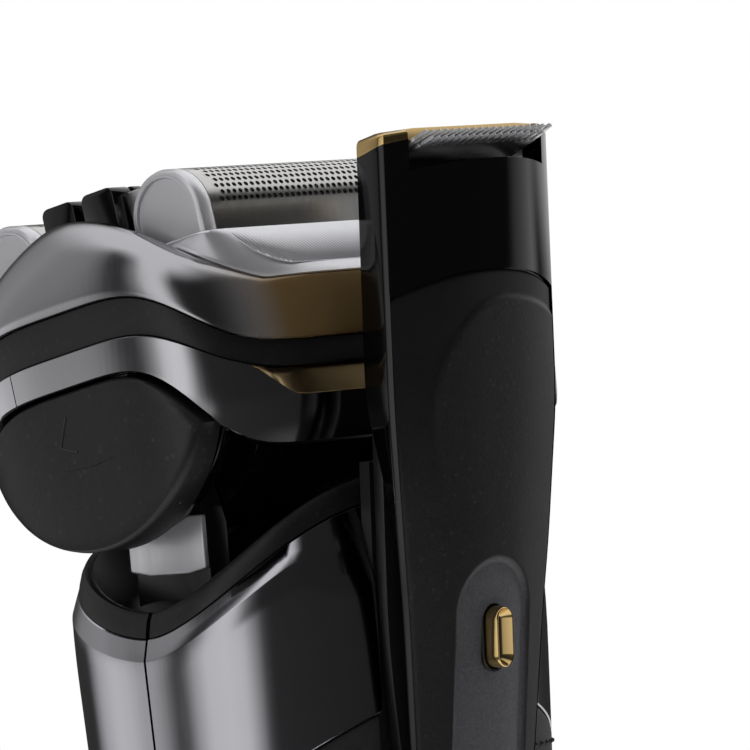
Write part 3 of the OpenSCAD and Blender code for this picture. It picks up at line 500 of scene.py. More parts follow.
def moulded(name, dark, light, roughness, grain, height, dots_and_glints=None, tones_and_shade=()):
    """A moulded plastic: a spark-eroded grain of the given size and height in millimetres, drawn several
    times coarser than a real one so that it shows, light specks painted in as glints where its tops catch the
    light (on the board they are its dots of solder), and gloss that varies with handling in patches of some 14 mm.
    Each row of the last argument brings in another pair of greys where the piece's attribute is 1; on the
    trimmer's panel one of these is painted shade over its upper shoulder."""
    material, tree, shader, mm = new_material(name, dark, 0.0, roughness, IOR=1.5)
    fine = lumps(tree, mm, grain, 2)
    tops = add(tree, "ShaderNodeMapRange", {"Value": fine, **NOISE_RANGE})
    colour = {SHARE: tops, FROM: linear(dark), TO: linear(light)}
    colour = add(tree, "ShaderNodeMix", colour, data_type="RGBA").outputs[RESULT]
    # Light specks painted into the colour: glints on the grain of the plastics, and real dots of solder on the
    # board.
    if dots_and_glints:
        spacing = grain * 4.2
        cells = add(tree, "ShaderNodeTexVoronoi", {"Vector": mm, "Scale": 1 / spacing}, feature="F1")
        from_top = {"Value": cells.outputs["Distance"], "From Min": 0.1, "From Max": 0.2}
        near = add(tree, "ShaderNodeMapRange", {**from_top, "To Min": 0.55, "To Max": 0})
        colour = {SHARE: near, FROM: colour, TO: linear(dots_and_glints)}
        colour = add(tree, "ShaderNodeMix", colour, data_type="RGBA").outputs[RESULT]
    # Each row brings in another pair of greys; on the trimmer's panel one of them is painted shade over its upper
    # shoulder.
    for attribute, low, high in tones_and_shade:
        inside = {SHARE: tops, FROM: linear(low), TO: linear(high)}
        inside = add(tree, "ShaderNodeMix", inside, data_type="RGBA").outputs[RESULT]
        mark = add(tree, "ShaderNodeAttribute", attribute_name=attribute).outputs["Fac"]
        colour = {SHARE: mark, FROM: colour, TO: inside}
        colour = add(tree, "ShaderNodeMix", colour, data_type="RGBA").outputs[RESULT]
    gloss = {"To Min": roughness - 0.05, "To Max": roughness + 0.05}
    handled = add(tree, "ShaderNodeMapRange", {"Value": lumps(tree, mm, 14, 2), **NOISE_RANGE, **gloss})
    relief = add(tree, "ShaderNodeBump", {"Height": fine, "Distance": height * MM, "Strength": 0.6})
    feed(tree, shader, {"Base Color": colour, "Roughness": handled, "Normal": relief})
    return material


def painted_warm_reflection(material, hex_colour):
    """Painted reflection: a champagne tint over the long back face of the dome, less metallic, that fades by the
    corner, standing in for a warm gold-brown reflection on that face.
    """
    tree = material.node_tree
    shader = tree.nodes["Principled BSDF"]
    place = add(tree, "ShaderNodeTexCoord").outputs["Object"]
    axes = add(tree, "ShaderNodeSeparateXYZ", {"Vector": place})
    out = add(tree, "ShaderNodeMath", {0: axes.outputs["X"]}, operation="ABSOLUTE")
    shares = []
    for value, start, end, first, last in ((out, 19, 29, 1, 0), (axes.outputs["Y"], 8, 13, 0, 1)):
        reach = {"From Min": start * MM, "From Max": end * MM, "To Min": first, "To Max": last}
        soft = {"interpolation_type": "SMOOTHSTEP"}
        shares.append(add(tree, "ShaderNodeMapRange", {"Value": value, **reach}, **soft))
    share = add(tree, "ShaderNodeMath", dict(enumerate(shares)), operation="MULTIPLY")
    colours = {SHARE: share, FROM: shader.inputs["Base Color"].default_value, TO: linear(hex_colour)}
    colour = add(tree, "ShaderNodeMix", colours, data_type="RGBA").outputs[RESULT]
    metal = add(tree, "ShaderNodeMapRange", {"Value": share, "To Min": 1, "To Max": 0.45})
    feed(tree, shader, {"Base Color": colour, "Metallic": metal})


# Dark vacuum-metallised casing: a deep grey mirror, a little satin.
casing_chrome = polished("satin_dark_chrome_casing", "#b4b4b9", 0.13)
# Black-nickel head dome: darker than the casing and a shade cleaner.
dome_chrome = polished("black_nickel_dome", "#b0afb3", 0.13)
# Painted reflection: a warm gold-brown sheen tinted into the dome's long back face.
painted_warm_reflection(dome_chrome, "#6b5738")
# Bright chrome trims round the head: the lightest and clearest of the mirrors.
trim_chrome = polished("bright_chrome_trim", "#bebdc1", 0.12)
# Champagne anodised step at the back of the trim: a warm, soft sheen.
champagne = polished("champagne_anodised_trim", "#c9ae7f", 0.24)
# Gold anodised aluminium of the trimmer's cap and the power ring: pale gold, its reflections blurred.
gold = polished("gold_anodised_aluminium", "#cfb077", 0.22)
# The latch is the same gold, buffed to a mirror, so its sides and trough split into light and dark.
latch_gold = polished("buffed_gold_aluminium", "#d6b87e", 0.1)
# Satin silver paint over the plastic of the cassette, end caps and neck plates: pale, with a broad glow.
silver = polished("satin_silver_paint", "#cdcdd1", 0.34, 0.7, 0.1)
# Rolled and etched foil steel: a bright web, broken up by its holes, over a dark inside.
foil_steel = polished("etched_foil_steel", "#c6c5c3", 0.2)
# Ground blade steel: combs and cutters, with a dull sheen that takes in light from all round.
blade_steel = polished("ground_blade_steel", "#dadadc", 0.42)
# Piano-black ABS: near-black with a clear mirror gloss.
piano_black = polished("piano_black_abs", "#040405", 0.07, 0.0, 0.03)
# Satin black ABS of the deck and the neck: dark next to the chrome, with only a dull sheen.
satin_black = moulded("satin_black_abs", "#09090a", "#0e0e10", 0.4, 0.5, 0.015)
# Matte black textured ABS of the collar and the head's band: dry and dark, with fine specks painted in as glints.
matte_black = moulded("grained_black_abs", "#0b0b0d", "#141416", 0.44, 0.35, 0.03, "#232326")
# Soft black release lobes, with scattered light specks painted in as glints.
lobe_black = moulded("speckled_black_abs", "#0a0a0b", "#131315", 0.44, 0.4, 0.035, "#29292d")
# Charcoal soft-touch paint with a fine leather-like grain: a soft grey that hardly shines, with light specks
# painted in as glints.
charcoal = moulded("charcoal_soft_touch", "#1a1a1c", "#27272a", 0.52, 0.32, 0.05, "#303033")
# The same soft touch on the trimmer's panel, with the same painted glints: a shade lighter inside the latch's
# hollow, and painted shade that darkens its upper shoulder.
PANEL_TONE_AND_SHADE = [("hollow", "#323236", "#434348"), ("shoulder", "#08080a", "#0f0f11")]
panel_charcoal = moulded(
    "charcoal_soft_touch_panel", "#0f0f11", "#19191c", 0.5, 0.32, 0.05, "#2a2a2d", PANEL_TONE_AND_SHADE
)
# Moulded silicone-rubber grips: flat dark grey, with no clear highlight.
rubber = moulded("moulded_rubber_grip", "#151517", "#1f1f21", 0.62, 0.5, 0.03)
# Inner mouldings of glass-filled plastic: mid grey, dry and a little mottled.
inner_plastic = moulded("glass_filled_nylon", "#2b2c2f", "#37383c", 0.55, 0.6, 0.03)
# Black acetal of the trimmer's carriage and its guide, a little waxy.
guide_black = moulded("black_acetal", "#101012", "#18181a", 0.4, 0.5, 0.02)
# Shrink-wrapped cell: a blue film with a soft gloss.
cell_wrap = moulded("cell_shrink_wrap", "#2f5d8f", "#3a6da3", 0.35, 3, 0.02)
# Circuit board under its green solder mask: glossy, with pale dots of solder.
board_green = moulded("solder_mask_board", "#174a2f", "#21603f", 0.3, 0.9, 0.03, "#c9c7b0")
# Zinc-plated motor cans: grey and a little cloudy.
motor_can = polished("zinc_plated_can", "#9a9ca0", 0.33)
# Black sealing rubber: flat, with next to no gloss.
seal_rubber = moulded("sealing_rubber", "#17171a", "#202023", 0.7, 0.7, 0.02)
# Gold-flashed brass contacts: small yellow glints.
contact_gold = polished("gold_flashed_contact", "#d0b26a", 0.25)
# Turned steel of pins and screws: a clean grey mirror, a little blurred.
pin_steel = polished("turned_steel_pin", "#a9abae", 0.25)

# What each CAD node that keeps its own mesh is made of.
kept = {
    "drive_bridge": motor_can,
    "swivel_pins": pin_steel,
    "linear_motor": motor_can,
    "trimmer_motor": motor_can,
    "battery": cell_wrap,
    "circuit_board": board_green,
    "chassis": inner_plastic,
    "inlet_pins": contact_gold,
    "charging_inlet": inner_plastic,
    "case_screws": pin_steel,
    "bottom_seal": seal_rubber,
    "rear_cutter": blade_steel,
    "front_cutter": blade_steel,
    "middle_trimmer_cutter": blade_steel,
    "middle_comb_cutter": blade_steel,
    "trimmer_lever": pin_steel,
    "trimmer_guide": guide_black,
}

# ---------------------------------------------------------------- studio

# The camera's direction from the shaver, the point that it looks at, its distance and its roll, and how
# wide its view is at that distance, in metres.
TOWARDS_CAMERA = 42
AIM = Vector((-6.63, 7.36, 140.2)) * MM
CAMERA_RANGE = 0.9
ROLL = 5
FIELD = 0.08824
SENSOR = 36

# Turn from the camera's direction and rise, in degrees, then distance and size in metres, and watts.
LAMPS = [
    ("key_lamp", 134, 28, 1.4, 0.9, 42),
    ("fill_lamp", -66, 24, 1.5, 1.1, 6),
    ("top_lamp", 20, 74, 1.4, 0.9, 8),
]
LAMP_AIM = Vector((0, 0, 0.12))
FILL_LEVEL = 0.26
FLOOR_R = 1100
FLOOR_Z = -0.2
FLOOR_SIDES = 64

# The tent of cards goes all the way round: where it starts and ends by turn, its radius, the height of
# its middle, its lowest and highest rise, and how many steps it has each way.
TENT_LEFT = -234.9
TENT_RIGHT = 125
TENT_R = 1400
TENT_Z = 140
TENT_RISES = (-50, 90)
TENT_ROWS = 70
TENT_COLUMNS = 240

# Grey of the cards by turn from the camera's direction, positive towards the back of the shaver: the
# low ones light the upright handle, and the high ones the head.
LOW_CARDS = [
    (-234.9, 0.8), (-231, 0.5), (-226, 0.04), (-195, 0.03), (-128, 0.05), (-112, 0.7), (-98, 0.95),
    (-89, 0.85), (-84, 0.55), (-79, 0.12), (-74, 0.07), (-70, 0.2), (-64, 0.6), (-54, 0.95), (-36, 1.0),
    (-20, 0.92), (-10, 0.5), (-1, 0.1), (6, 0.04), (104, 0.02), (108, 0.3), (125, 0.8),
]
HIGH_CARDS = [
    (-234.9, 0.5), (-228, 0.8), (-220, 1.0), (-186, 1.0), (-178, 0.04), (-150, 0.1), (-130, 0.35),
    (-100, 0.45), (-92, 0.36), (-88, 0.38), (-85, 0.26), (-82, 0.1), (-79.5, 0.05), (-72, 0.05),
    (-67, 0.2), (-61, 0.42), (-54, 0.85), (-44, 1.0), (-34, 0.95), (-27, 0.6), (-20, 0.2), (-12, 0.05),
    (-4, 0.03), (104, 0.02), (112, 0.15), (125, 0.5),
]
# Rise at which the light from overhead begins, by turn: lowest behind the head, where the dome sees it.
TOP_STARTS = [
    (-234.9, 14), (-200, 14), (-190, 34), (-110, 30), (-92, 27), (-82, 42), (-62, 45), (-48, 36), (-36, 32),
    (-24, 36), (-10, 46), (60, 56), (92, 50), (104, 34), (110, 14), (125, 14),
]


def smooth_cards(cards, turn):
    """The table with its corners eased over three degrees."""
    return sum(lookup(cards, max(TENT_LEFT, min(TENT_RIGHT, turn + k))) for k in (-1.5, 0, 1.5)) / 3


def card_light(turn, rise):
    """Grey of the tent in one direction."""
    grey = mixed(smooth_cards(LOW_CARDS, turn), smooth_cards(HIGH_CARDS, turn), eased(-1.5, 1, rise))
    # A small grey card to the right, a little above level.
    card_width = eased(90, 97, turn) * (1 - eased(110, 118, turn))
    card_height = eased(5, 10, rise) * (1 - eased(16, 21, rise))
    grey = mixed(grey, 0.34, card_width * card_height)
    # Light from overhead.
    start = smooth_cards(TOP_STARTS, turn)
    grey = mixed(grey, 1.0, eased(start, start + 28, rise))
    # Below: dark but for one side, and then the pale floor's own glow.
    below = mixed(0.95, 0.1, eased(-190, -178, turn))
    grey = mixed(grey, below, eased(-14, -24, rise))
    return mixed(grey, 0.8, eased(-34, -48, rise))


def direction(turn, rise):
    """Which way a turn from the camera's direction and a rise point, both in degrees."""
    a = math.radians(TOWARDS_CAMERA + turn)
    e = math.radians(rise)
    return Vector((math.cos(a) * math.cos(e), math.sin(a) * math.cos(e), math.sin(e)))


def make_world(scene):
    """White for what looks straight or by reflection, and a plain fill for what is lit."""
    world = bpy.data.worlds.new("studio_world")
    scene.world = world
    world.use_nodes = True
    tree = world.node_tree
    tree.nodes.clear()
    rays = add(tree, "ShaderNodeLightPath").outputs
    seen = {0: rays["Is Camera Ray"], 1: rays["Is Glossy Ray"]}
    seen = add(tree, "ShaderNodeMath", seen, operation="ADD")
    shown = {0: seen, 1: rays["Is Transmission Ray"]}
    shown = add(tree, "ShaderNodeMath", shown, operation="ADD", use_clamp=True)
    fill = add(tree, "ShaderNodeBackground", {"Color": linear("#ffffff"), "Strength": FILL_LEVEL})
    white = add(tree, "ShaderNodeBackground", {"Color": linear("#ffffff"), "Strength": 1.0})
    mix = add(tree, "ShaderNodeMixShader", {0: shown, 1: fill, 2: white})
    add(tree, "ShaderNodeOutputWorld", {"Surface": mix})


def make_floor():
    turns = [2 * math.pi * k / FLOOR_SIDES for k in range(FLOOR_SIDES)]
    ring = [(FLOOR_R * math.cos(a), FLOOR_R * math.sin(a), FLOOR_Z) for a in turns]
    floor = from_points("floor", ring, [tuple(range(FLOOR_SIDES))])
    floor.data.materials.append(new_material("pale_floor", "#f2f2f2", 0, 0.7)[0])
    floor.visible_glossy = False


def make_tent():
    """A tent of soft cards all round, which only reflections see: lit cards, and grey gaps."""
    rises = [mixed(*TENT_RISES, k / TENT_ROWS) for k in range(TENT_ROWS + 1)]
    turns = [mixed(TENT_LEFT, TENT_RIGHT, k / TENT_COLUMNS) for k in range(TENT_COLUMNS + 1)]
    centre = Vector((0, 0, TENT_Z))
    points = [centre + direction(turn, rise) * TENT_R for rise in rises for turn in turns]
    tent = from_points("card_tent", points, grid_faces(len(rises), len(turns), False, False))
    material = bpy.data.materials.new("tent_cards")
    material.use_nodes = True
    tree = material.node_tree
    tree.nodes.clear()
    level = add(tree, "ShaderNodeAttribute", attribute_name="card").outputs["Color"]
    light = add(tree, "ShaderNodeEmission", {"Color": level, "Strength": 1.0})
    add(tree, "ShaderNodeOutputMaterial", {"Surface": light})
    tent.data.materials.append(material)
    cards = tent.data.color_attributes.new("card", "FLOAT_COLOR", "POINT")
    for vertex, shade in zip(tent.data.vertices, cards.data):
        x, y, z = vertex.co / MM
        turn = (math.degrees(math.atan2(y, x)) - TOWARDS_CAMERA - TENT_LEFT) % 360 + TENT_LEFT
        grey = card_light(turn, math.degrees(math.atan2(z - TENT_Z, math.hypot(x, y))))
        shade.color = (grey, grey, grey, 1)
    for ray in ("camera", "diffuse", "transmission", "shadow"):
        setattr(tent, "visible_" + ray, False)


def make_studio():
    scene = bpy.context.scene
    scene.view_settings.view_transform = "Standard"
    make_world(scene)
    make_floor()
    make_tent()

    for name, turn, rise, distance, side, watts in LAMPS:
        data = bpy.data.lights.new(name, "AREA")
        data.size = side
        data.energy = watts
        lamp = bpy.data.objects.new(name, data)
        away = direction(turn, rise)
        lamp.location = LAMP_AIM + away * distance
        lamp.rotation_euler = away.to_track_quat("Z", "Y").to_euler()
        lamp.visible_glossy = False
        scene.collection.objects.link(lamp)

    data = bpy.data.cameras.new("camera")
    data.sensor_width = SENSOR
    data.lens = SENSOR * CAMERA_RANGE / FIELD
    data.clip_start = 0.05
    data.clip_end = 20
    camera = bpy.data.objects.new("camera", data)
    towards = direction(0, 0)
    level = Matrix((direction(90, 0), (0, 0, 1), towards)).transposed()
    turned = (level @ Matrix.Rotation(math.radians(-ROLL), 3, "Z")).to_4x4()
    turned.translation = AIM + towards * CAMERA_RANGE
    camera.matrix_world = turned
    scene.collection.objects.link(camera)
    scene.camera = camera


make_studio()

# ---------------------------------------------------------------- repeats, by Geometry Nodes


def new_tree(name, sizes):
    """A Geometry Nodes tree with named inputs: its geometry, its sizes and its material."""
    tree = bpy.data.node_groups.new(name, "GeometryNodeTree")
    for socket, kind in {"Geometry": "Geometry", **sizes, "Material": "Material"}.items():
        tree.interface.new_socket(socket, in_out="INPUT", socket_type="NodeSocket" + kind)
    tree.interface.new_socket("Geometry", in_out="OUTPUT", socket_type="NodeSocketGeometry")
    return tree, add(tree, "NodeGroupInput").outputs


def ended(tree, given, geometry):
    """Ends a tree: its instances are made real, and take its material."""
    solid = add(tree, "GeometryNodeRealizeInstances", {"Geometry": geometry})
    faced = add(tree, "GeometryNodeSetMaterial", {"Geometry": solid, "Material": given["Material"]})
    add(tree, "NodeGroupOutput", {"Geometry": faced})
    return tree


def make_nub_tree():
    """A small blunt cone on every point, along the point's facing."""
    tree, given = new_tree("raised_nubs", {"Radius": "Float", "Height": "Float"})
    slim = add(tree, "ShaderNodeMath", {0: given["Radius"], 1: 0.45}, operation="MULTIPLY")
    shape = {"Vertices": 9, "Radius Top": slim, "Radius Bottom": given["Radius"], "Depth": given["Height"]}
    nub = add(tree, "GeometryNodeMeshCone", shape)
    facing = add(tree, "GeometryNodeInputNamedAttribute", {"Name": "facing"}, data_type="FLOAT_VECTOR")
    facing = facing.outputs["Attribute"]
    turned = add(tree, "FunctionNodeAlignRotationToVector", {"Vector": facing}, axis="Z")
    placed = {"Points": given["Geometry"], "Instance": nub, "Rotation": turned}
    return ended(tree, given, add(tree, "GeometryNodeInstanceOnPoints", placed))


def make_ridge_tree():
    """A slim ridge along every edge."""
    tree, given = new_tree("ridge_along_edges", {"Radius": "Float"})
    lines = add(tree, "GeometryNodeMeshToCurve", {"Mesh": given["Geometry"]})
    ring = add(tree, "GeometryNodeCurvePrimitiveCircle", {"Resolution": 6, "Radius": given["Radius"]})
    shape = {"Curve": lines, "Profile Curve": ring, "Fill Caps": True}
    return ended(tree, given, add(tree, "GeometryNodeCurveToMesh", shape))


def make_row_tree():
    """A copy of a small part on every point."""
    tree, given = new_tree("row_of_parts", {"Part": "Object"})
    part = add(tree, "GeometryNodeObjectInfo", {"Object": given["Part"]}).outputs["Geometry"]
    placed = {"Points": given["Geometry"], "Instance": part}
    return ended(tree, given, add(tree, "GeometryNodeInstanceOnPoints", placed))


def make_foil_tree():
    """A perforated cell on every marked point, welded to the plain margin, then the flat sheet wrapped
    over the foil's arch: half a turn at the bend radius, and straight legs below it."""
    sizes = {"Cell": "Object", "Bend radius": "Float", "Across": "Float", "Axis height": "Float"}
    tree, given = new_tree("perforated_foil", sizes)
    marked = add(tree, "GeometryNodeInputNamedAttribute", {"Name": "cell"}, data_type="BOOLEAN")
    parts = {"Geometry": given["Geometry"], "Selection": marked.outputs["Attribute"]}
    parts = add(tree, "GeometryNodeSeparateGeometry", parts, domain="POINT").outputs
    cell = add(tree, "GeometryNodeObjectInfo", {"Object": given["Cell"]}).outputs["Geometry"]
    placed = {"Points": parts["Selection"], "Instance": cell}
    placed = add(tree, "GeometryNodeInstanceOnPoints", placed)
    solid = add(tree, "GeometryNodeRealizeInstances", {"Geometry": placed})
    both = add(tree, "GeometryNodeJoinGeometry", {0: solid})
    feed(tree, both, {0: parts["Inverted"]})
    welded = add(tree, "GeometryNodeMergeByDistance", {"Geometry": both, "Distance": 0.02 * MM})
    spot = add(tree, "GeometryNodeInputPosition")
    flat = add(tree, "ShaderNodeSeparateXYZ", {0: spot}).outputs
    got = {"y": flat["Y"], "z": flat["Z"], "radius": given["Bend radius"]}
    got.update({"across": given["Across"], "axis": given["Axis height"]})
    # Each row makes one value from those above it.
    for result, operation, *values in (
        ("quarter", "MULTIPLY", "radius", math.pi / 2),
        ("other end", "MULTIPLY", "quarter", -1.0),
        ("before end", "MINIMUM", "y", "quarter"),
        ("on arch", "MAXIMUM", "before end", "other end"),
        ("past arch", "SUBTRACT", "y", "on arch"),
        ("drop", "ABSOLUTE", "past arch"),
        ("turn", "DIVIDE", "on arch", "radius"),
        ("out", "ADD", "z", "radius"),
        ("sine", "SINE", "turn"),
        ("cosine", "COSINE", "turn"),
        ("bent y", "MULTIPLY_ADD", "sine", "out", "across"),
        ("height", "MULTIPLY_ADD", "cosine", "out", "axis"),
        ("bent z", "SUBTRACT", "height", "drop"),
    ):
        inputs = {i: got.get(value, value) for i, value in enumerate(values)}
        got[result] = add(tree, "ShaderNodeMath", inputs, operation=operation)
    bent = add(tree, "ShaderNodeCombineXYZ", {"X": flat["X"], "Y": got["bent y"], "Z": got["bent z"]})
    wrapped = add(tree, "GeometryNodeSetPosition", {"Geometry": welded, "Position": bent})
    return ended(tree, given, wrapped)


def marked_points(mesh, attribute, kind, rows):
    """Writes an attribute on the mesh's points."""
    field = "vector" if kind == "FLOAT_VECTOR" else "value"
    layer = mesh.attributes.new(attribute, kind, "POINT")
    for item, row in zip(layer.data, rows):
        setattr(item, field, row)


def by_nodes(tree, mesh, values):
    """Runs a Geometry Nodes tree on a mesh, with its inputs' values, and keeps its result as plain mesh."""
    piece = linked(mesh.name, mesh)
    repeat = piece.modifiers.new("repeat", "NODES")
    repeat.node_group = tree
    named = {s.name: s.identifier for s in tree.interface.items_tree if s.in_out == "INPUT"}
    for socket, value in values.items():
        repeat[named[socket]] = value
    return smoothed(plain_mesh(piece))


nub_tree = make_nub_tree()
ridge_tree = make_ridge_tree()
row_tree = make_row_tree()
RIDGE_R = 0.13


def ridges(name, runs, material):
    """Slim ridges along runs of points on the head."""
    points = []
    edges = []
    for run in runs:
        edges += [(len(points) + i, len(points) + i + 1) for i in range(len(run) - 1)]
        points += run
    mesh = raw_mesh(name, points, edges, [], HEAD)
    return by_nodes(ridge_tree, mesh, {"Radius": RIDGE_R * MM, "Material": material})


# ---------------------------------------------------------------- handle

HANDLE_STEPS = 96
TRACK_HALF = 11.7
TRACK_LOW = -127
GUIDE_FLOOR = -1.9
SEAM = 0.25
NUB_PITCH = 1.9
NUB_ROW = NUB_PITCH * 0.866
NUB_R = 0.36
NUB_H = 0.34
NUBS_LOW = 6.5
NUBS_HIGH = 98.5
# The opening for the front panel: its half-width and its lower and upper ends.
PANEL_GAP = (11.1, 23.9, 104.1)
# Well outside the handle, for the far side of a cut.
FAR = 44
# The rim's bright bevel: its height, and the large facet beside the track, which falls from its highest
# line as it goes in, and fades out between two distances from the middle.
BEVEL_H = 2.5
FACET_X = 21.5
FACET_Z = 119.6
FACET_FALL = 0.31
FACET_FADE = (25, 18)
# The skirt of the rim's band: how far in its two faces stand, and how deep it goes.
SKIRT_IN = 3.34
SKIRT_OUT = 3.24
SKIRT_LOW = -5


def track_cutter(margin=0.0, floor=GUIDE_FLOOR):
    return block((-TRACK_HALF - margin, floor, TRACK_LOW), (TRACK_HALF + margin, FAR, 30), SLIDER)


def bevel_low(t):
    """Lower edge of the rim's bright bevel: it widens into a large facet beside the track."""
    edge = rim_z(t) - BEVEL_H
    if math.sin(t) <= 0:
        return edge
    x = abs(handle_point(t, rim_z(t), 0)[0])
    facet = FACET_Z - FACET_FALL * (FACET_X - x)
    return min(edge, mixed(edge, facet, eased(*FACET_FADE, x)))


def bevel_in(t):
    """How far the bevel leans in, which is more over the high back of the rim."""
    return 0.75 + 0.95 * eased(113, 120, rim_z(t)) * (math.sin(t) > 0)


def casing_section(t):
    """Closed section of a casing half: grip bed, lip, bright face, bevel, top edge and inside."""
    bed = grip_z(t)
    low = bevel_low(t)
    top = rim_z(t)
    lean = bevel_in(t)
    outer = [(GRIP_T, mixed(SHELL_LOW_Z, bed, k / 9)) for k in range(10)]
    outer += [(GRIP_T - 0.3, bed + 0.02), (0.12, bed + 0.03), (0, bed + 0.2)]
    outer += [(0, mixed(bed + 0.2, low - 0.12, k / 7)) for k in range(1, 8)]
    outer += [(lean * 0.03, low + 0.08), (lean * 0.5, mixed(low, top, 0.5)), (lean * 0.94, top - 0.16)]
    outer += [(lean + 0.1, top - 0.03), (lean + 0.3, top)]
    inner = [(GRIP_T + SHELL_WALL, mixed(top, SHELL_LOW_Z, k / 6)) for k in range(7)]
    return [handle_point(t, z, inset) for inset, z in outer + inner]


def casing_half(name, first, last):
    margin = math.degrees(math.asin(SEAM / 2 / HANDLE_HALF_D)) * 0.2
    angles = handle_angles(first + margin, last - margin, HANDLE_STEPS)
    return swept(name, [casing_section(t) for t in angles], False, sharp=24)


def collar_section(t):
    """A matt band that leans in, its edges rounded, with a thin skirt down the inside of the casing."""
    start = bevel_in(t) + 0.1
    top = COLLAR_H
    outer = [(start, 0.1), (start + 0.02, 0.35), (start + 0.16, top * 0.35), (start + 0.42, top * 0.68)]
    outer += [(start + 0.72, top - 0.35), (start + 0.9, top - 0.1), (start + 1.15, top)]
    inner = [(start + 1.5, top), (start + 1.75, top - 0.15), (start + 1.8, top - 0.5)]
    inner += [(max(start + 1.8, SKIRT_IN), -0.1), (SKIRT_IN, SKIRT_LOW), (SKIRT_OUT, SKIRT_LOW)]
    inner += [(SKIRT_OUT, -0.05), (start + 1.5, 0.1)]
    points = [(*handle_point(t, rim_z(t), inset), rise) for inset, rise in outer + inner]
    return [(x, y, z + rise) for x, y, z, rise in points]


def collar(name, first, last):
    angles = handle_angles(first + 0.15, last - 0.15, HANDLE_STEPS)
    return swept(name, [collar_section(t) for t in angles], False)


def grip_section(t):
    """Closed section of a rubber grip: its outer face with rounded edges, and a straight back."""
    inner = GRIP_T - 0.02
    top = grip_z(t) - 0.12
    low = SHELL_LOW_Z + 0.05
    outer = [(0.55, low), (0.12, low + 0.2), (0, low + 0.6)]
    outer += [(0, mixed(low + 0.6, top - 0.6, k / 10)) for k in range(1, 11)]
    outer += [(0.1, top - 0.2), (0.4, top), (inner, top)]
    back = [(inner, mixed(top, low, k / 6)) for k in range(1, 7)]
    return [handle_point(t, z, inset) for inset, z in outer + back]


def grip_skin(name, first, last, cutter):
    angles = handle_angles(first, last, HANDLE_STEPS)[1:-1]
    return cut(swept(name, [grip_section(t) for t in angles], False), cutter)


def grip_nubs(name, first, last, keep):
    """Rows of nubs, offset by half a step on every other row, over the grip's face."""
    points = []
    facings = []
    marks = 400
    for row in range(int((NUBS_HIGH - NUBS_LOW) / NUB_ROW)):
        z = NUBS_LOW + row * NUB_ROW
        ring = even_angles(half_width(z), half_depth(z), HANDLE_SQUARE, first, last, marks)
        spots = [handle_point(t, z, 0) for t in ring]
        length = sum(math.dist(a, b) for a, b in zip(spots, spots[1:]))
        for i in range(int(length / NUB_PITCH)):
            k = min(marks, round((i + 0.5 * (row % 2) + 0.25) * NUB_PITCH / length * marks))
            t = ring[k]
            if z > grip_z(t) - 1.6 or not keep(*spots[k]):
                continue
            ahead = Vector(handle_point(t + 0.002, z, 0)) - Vector(spots[k])
            points.append(handle_point(t, z, 0.02))
            facings.append(Vector((ahead.y, -ahead.x, 0)).normalized())
    mesh = raw_mesh(name, points, [], [])
    marked_points(mesh, "facing", "FLOAT_VECTOR", facings)
    return by_nodes(nub_tree, mesh, {"Radius": NUB_R * MM, "Height": NUB_H * MM, "Material": rubber})


def rear_grips():
    """Left and right skins from one that runs round the back, cut by the track and the middle."""
    grip = grip_skin("rear_grip", 0, 180, track_cutter(0.6, GUIDE_FLOOR - 1))
    for side, node_name in ((1, "grip_rear_left"), (-1, "grip_rear_right")):
        mesh = bpy.data.meshes.new(node_name)
        with edited(mesh, grip.data) as half:
            whole = half.verts[:] + half.edges[:] + half.faces[:]
            middle = {"plane_co": (side * 3 * MM, 0, 0), "plane_no": (-side, 0, 0)}
            bmesh.ops.bisect_plane(half, geom=whole, clear_outer=True, **middle)
        skin = smoothed(linked(node_name + "_skin", mesh))
        fit(smoothed(beveled(skin, 0.25, 50)), rubber, node_name)

        def beside_track(x, y, z, side=side):
            local = SLIDER.inverted() @ Vector((x, y, z))
            return side * x > 0.5 and (abs(x) > TRACK_HALF + 2 or local.z < TRACK_LOW - 2)

        detail(grip_nubs(node_name + "_nubs", 4, 176, beside_track), rubber, node_name)
    bpy.data.objects.remove(grip)


def deck_rise(y):
    """The deck's crown stands higher behind the barrel's lowest line."""
    return 1.25 * eased(-1.5, 2.2, y)


def satin_deck():
    """The dark deck inside the rim: a dished border, in rings, and a crown in its middle."""
    rows = [(3.35, 108.2), (3.35, 110.5), (3.5, 111.4), (3.9, 112.6), (4.6, 114.2), (5.4, 115.6)]
    rows += [(6.2, 116.6), (7.2, 117.2), (9, 117.9), (10.5, 118.8), (12, 120.2), (14, 121.9)]
    rows += [(16, 122.8), (17, 123.1), (17, 114), (8, 112), (5.4, 108.2)]
    border = []
    for k in range(64):
        t = math.radians(k * 360 / 64)
        ring = [(*handle_point(t, min(z, 112), inset)[:2], z) for inset, z in rows]
        border.append([(x, y, z + deck_rise(y) * eased(121, 122.7, z)) for x, y, z in ring])
    core = [handle_point(math.radians(k * 7.5), 110, 16.8)[:2] for k in range(48)]
    tiers = [[(x, y, 114.2) for x, y in core], [(x, y, 123.05 + deck_rise(y)) for x, y in core]]
    tiers += [[(x * k, y, 123.08 + deck_rise(y)) for x, y in core] for k in (0.6, 0.2)]
    parts = [swept("satin_deck", border, True), swept("deck_crown", tiers, False)]
    return cut(joined("satin_deck", parts), track_cutter(0.1, GUIDE_FLOOR - 0.1))


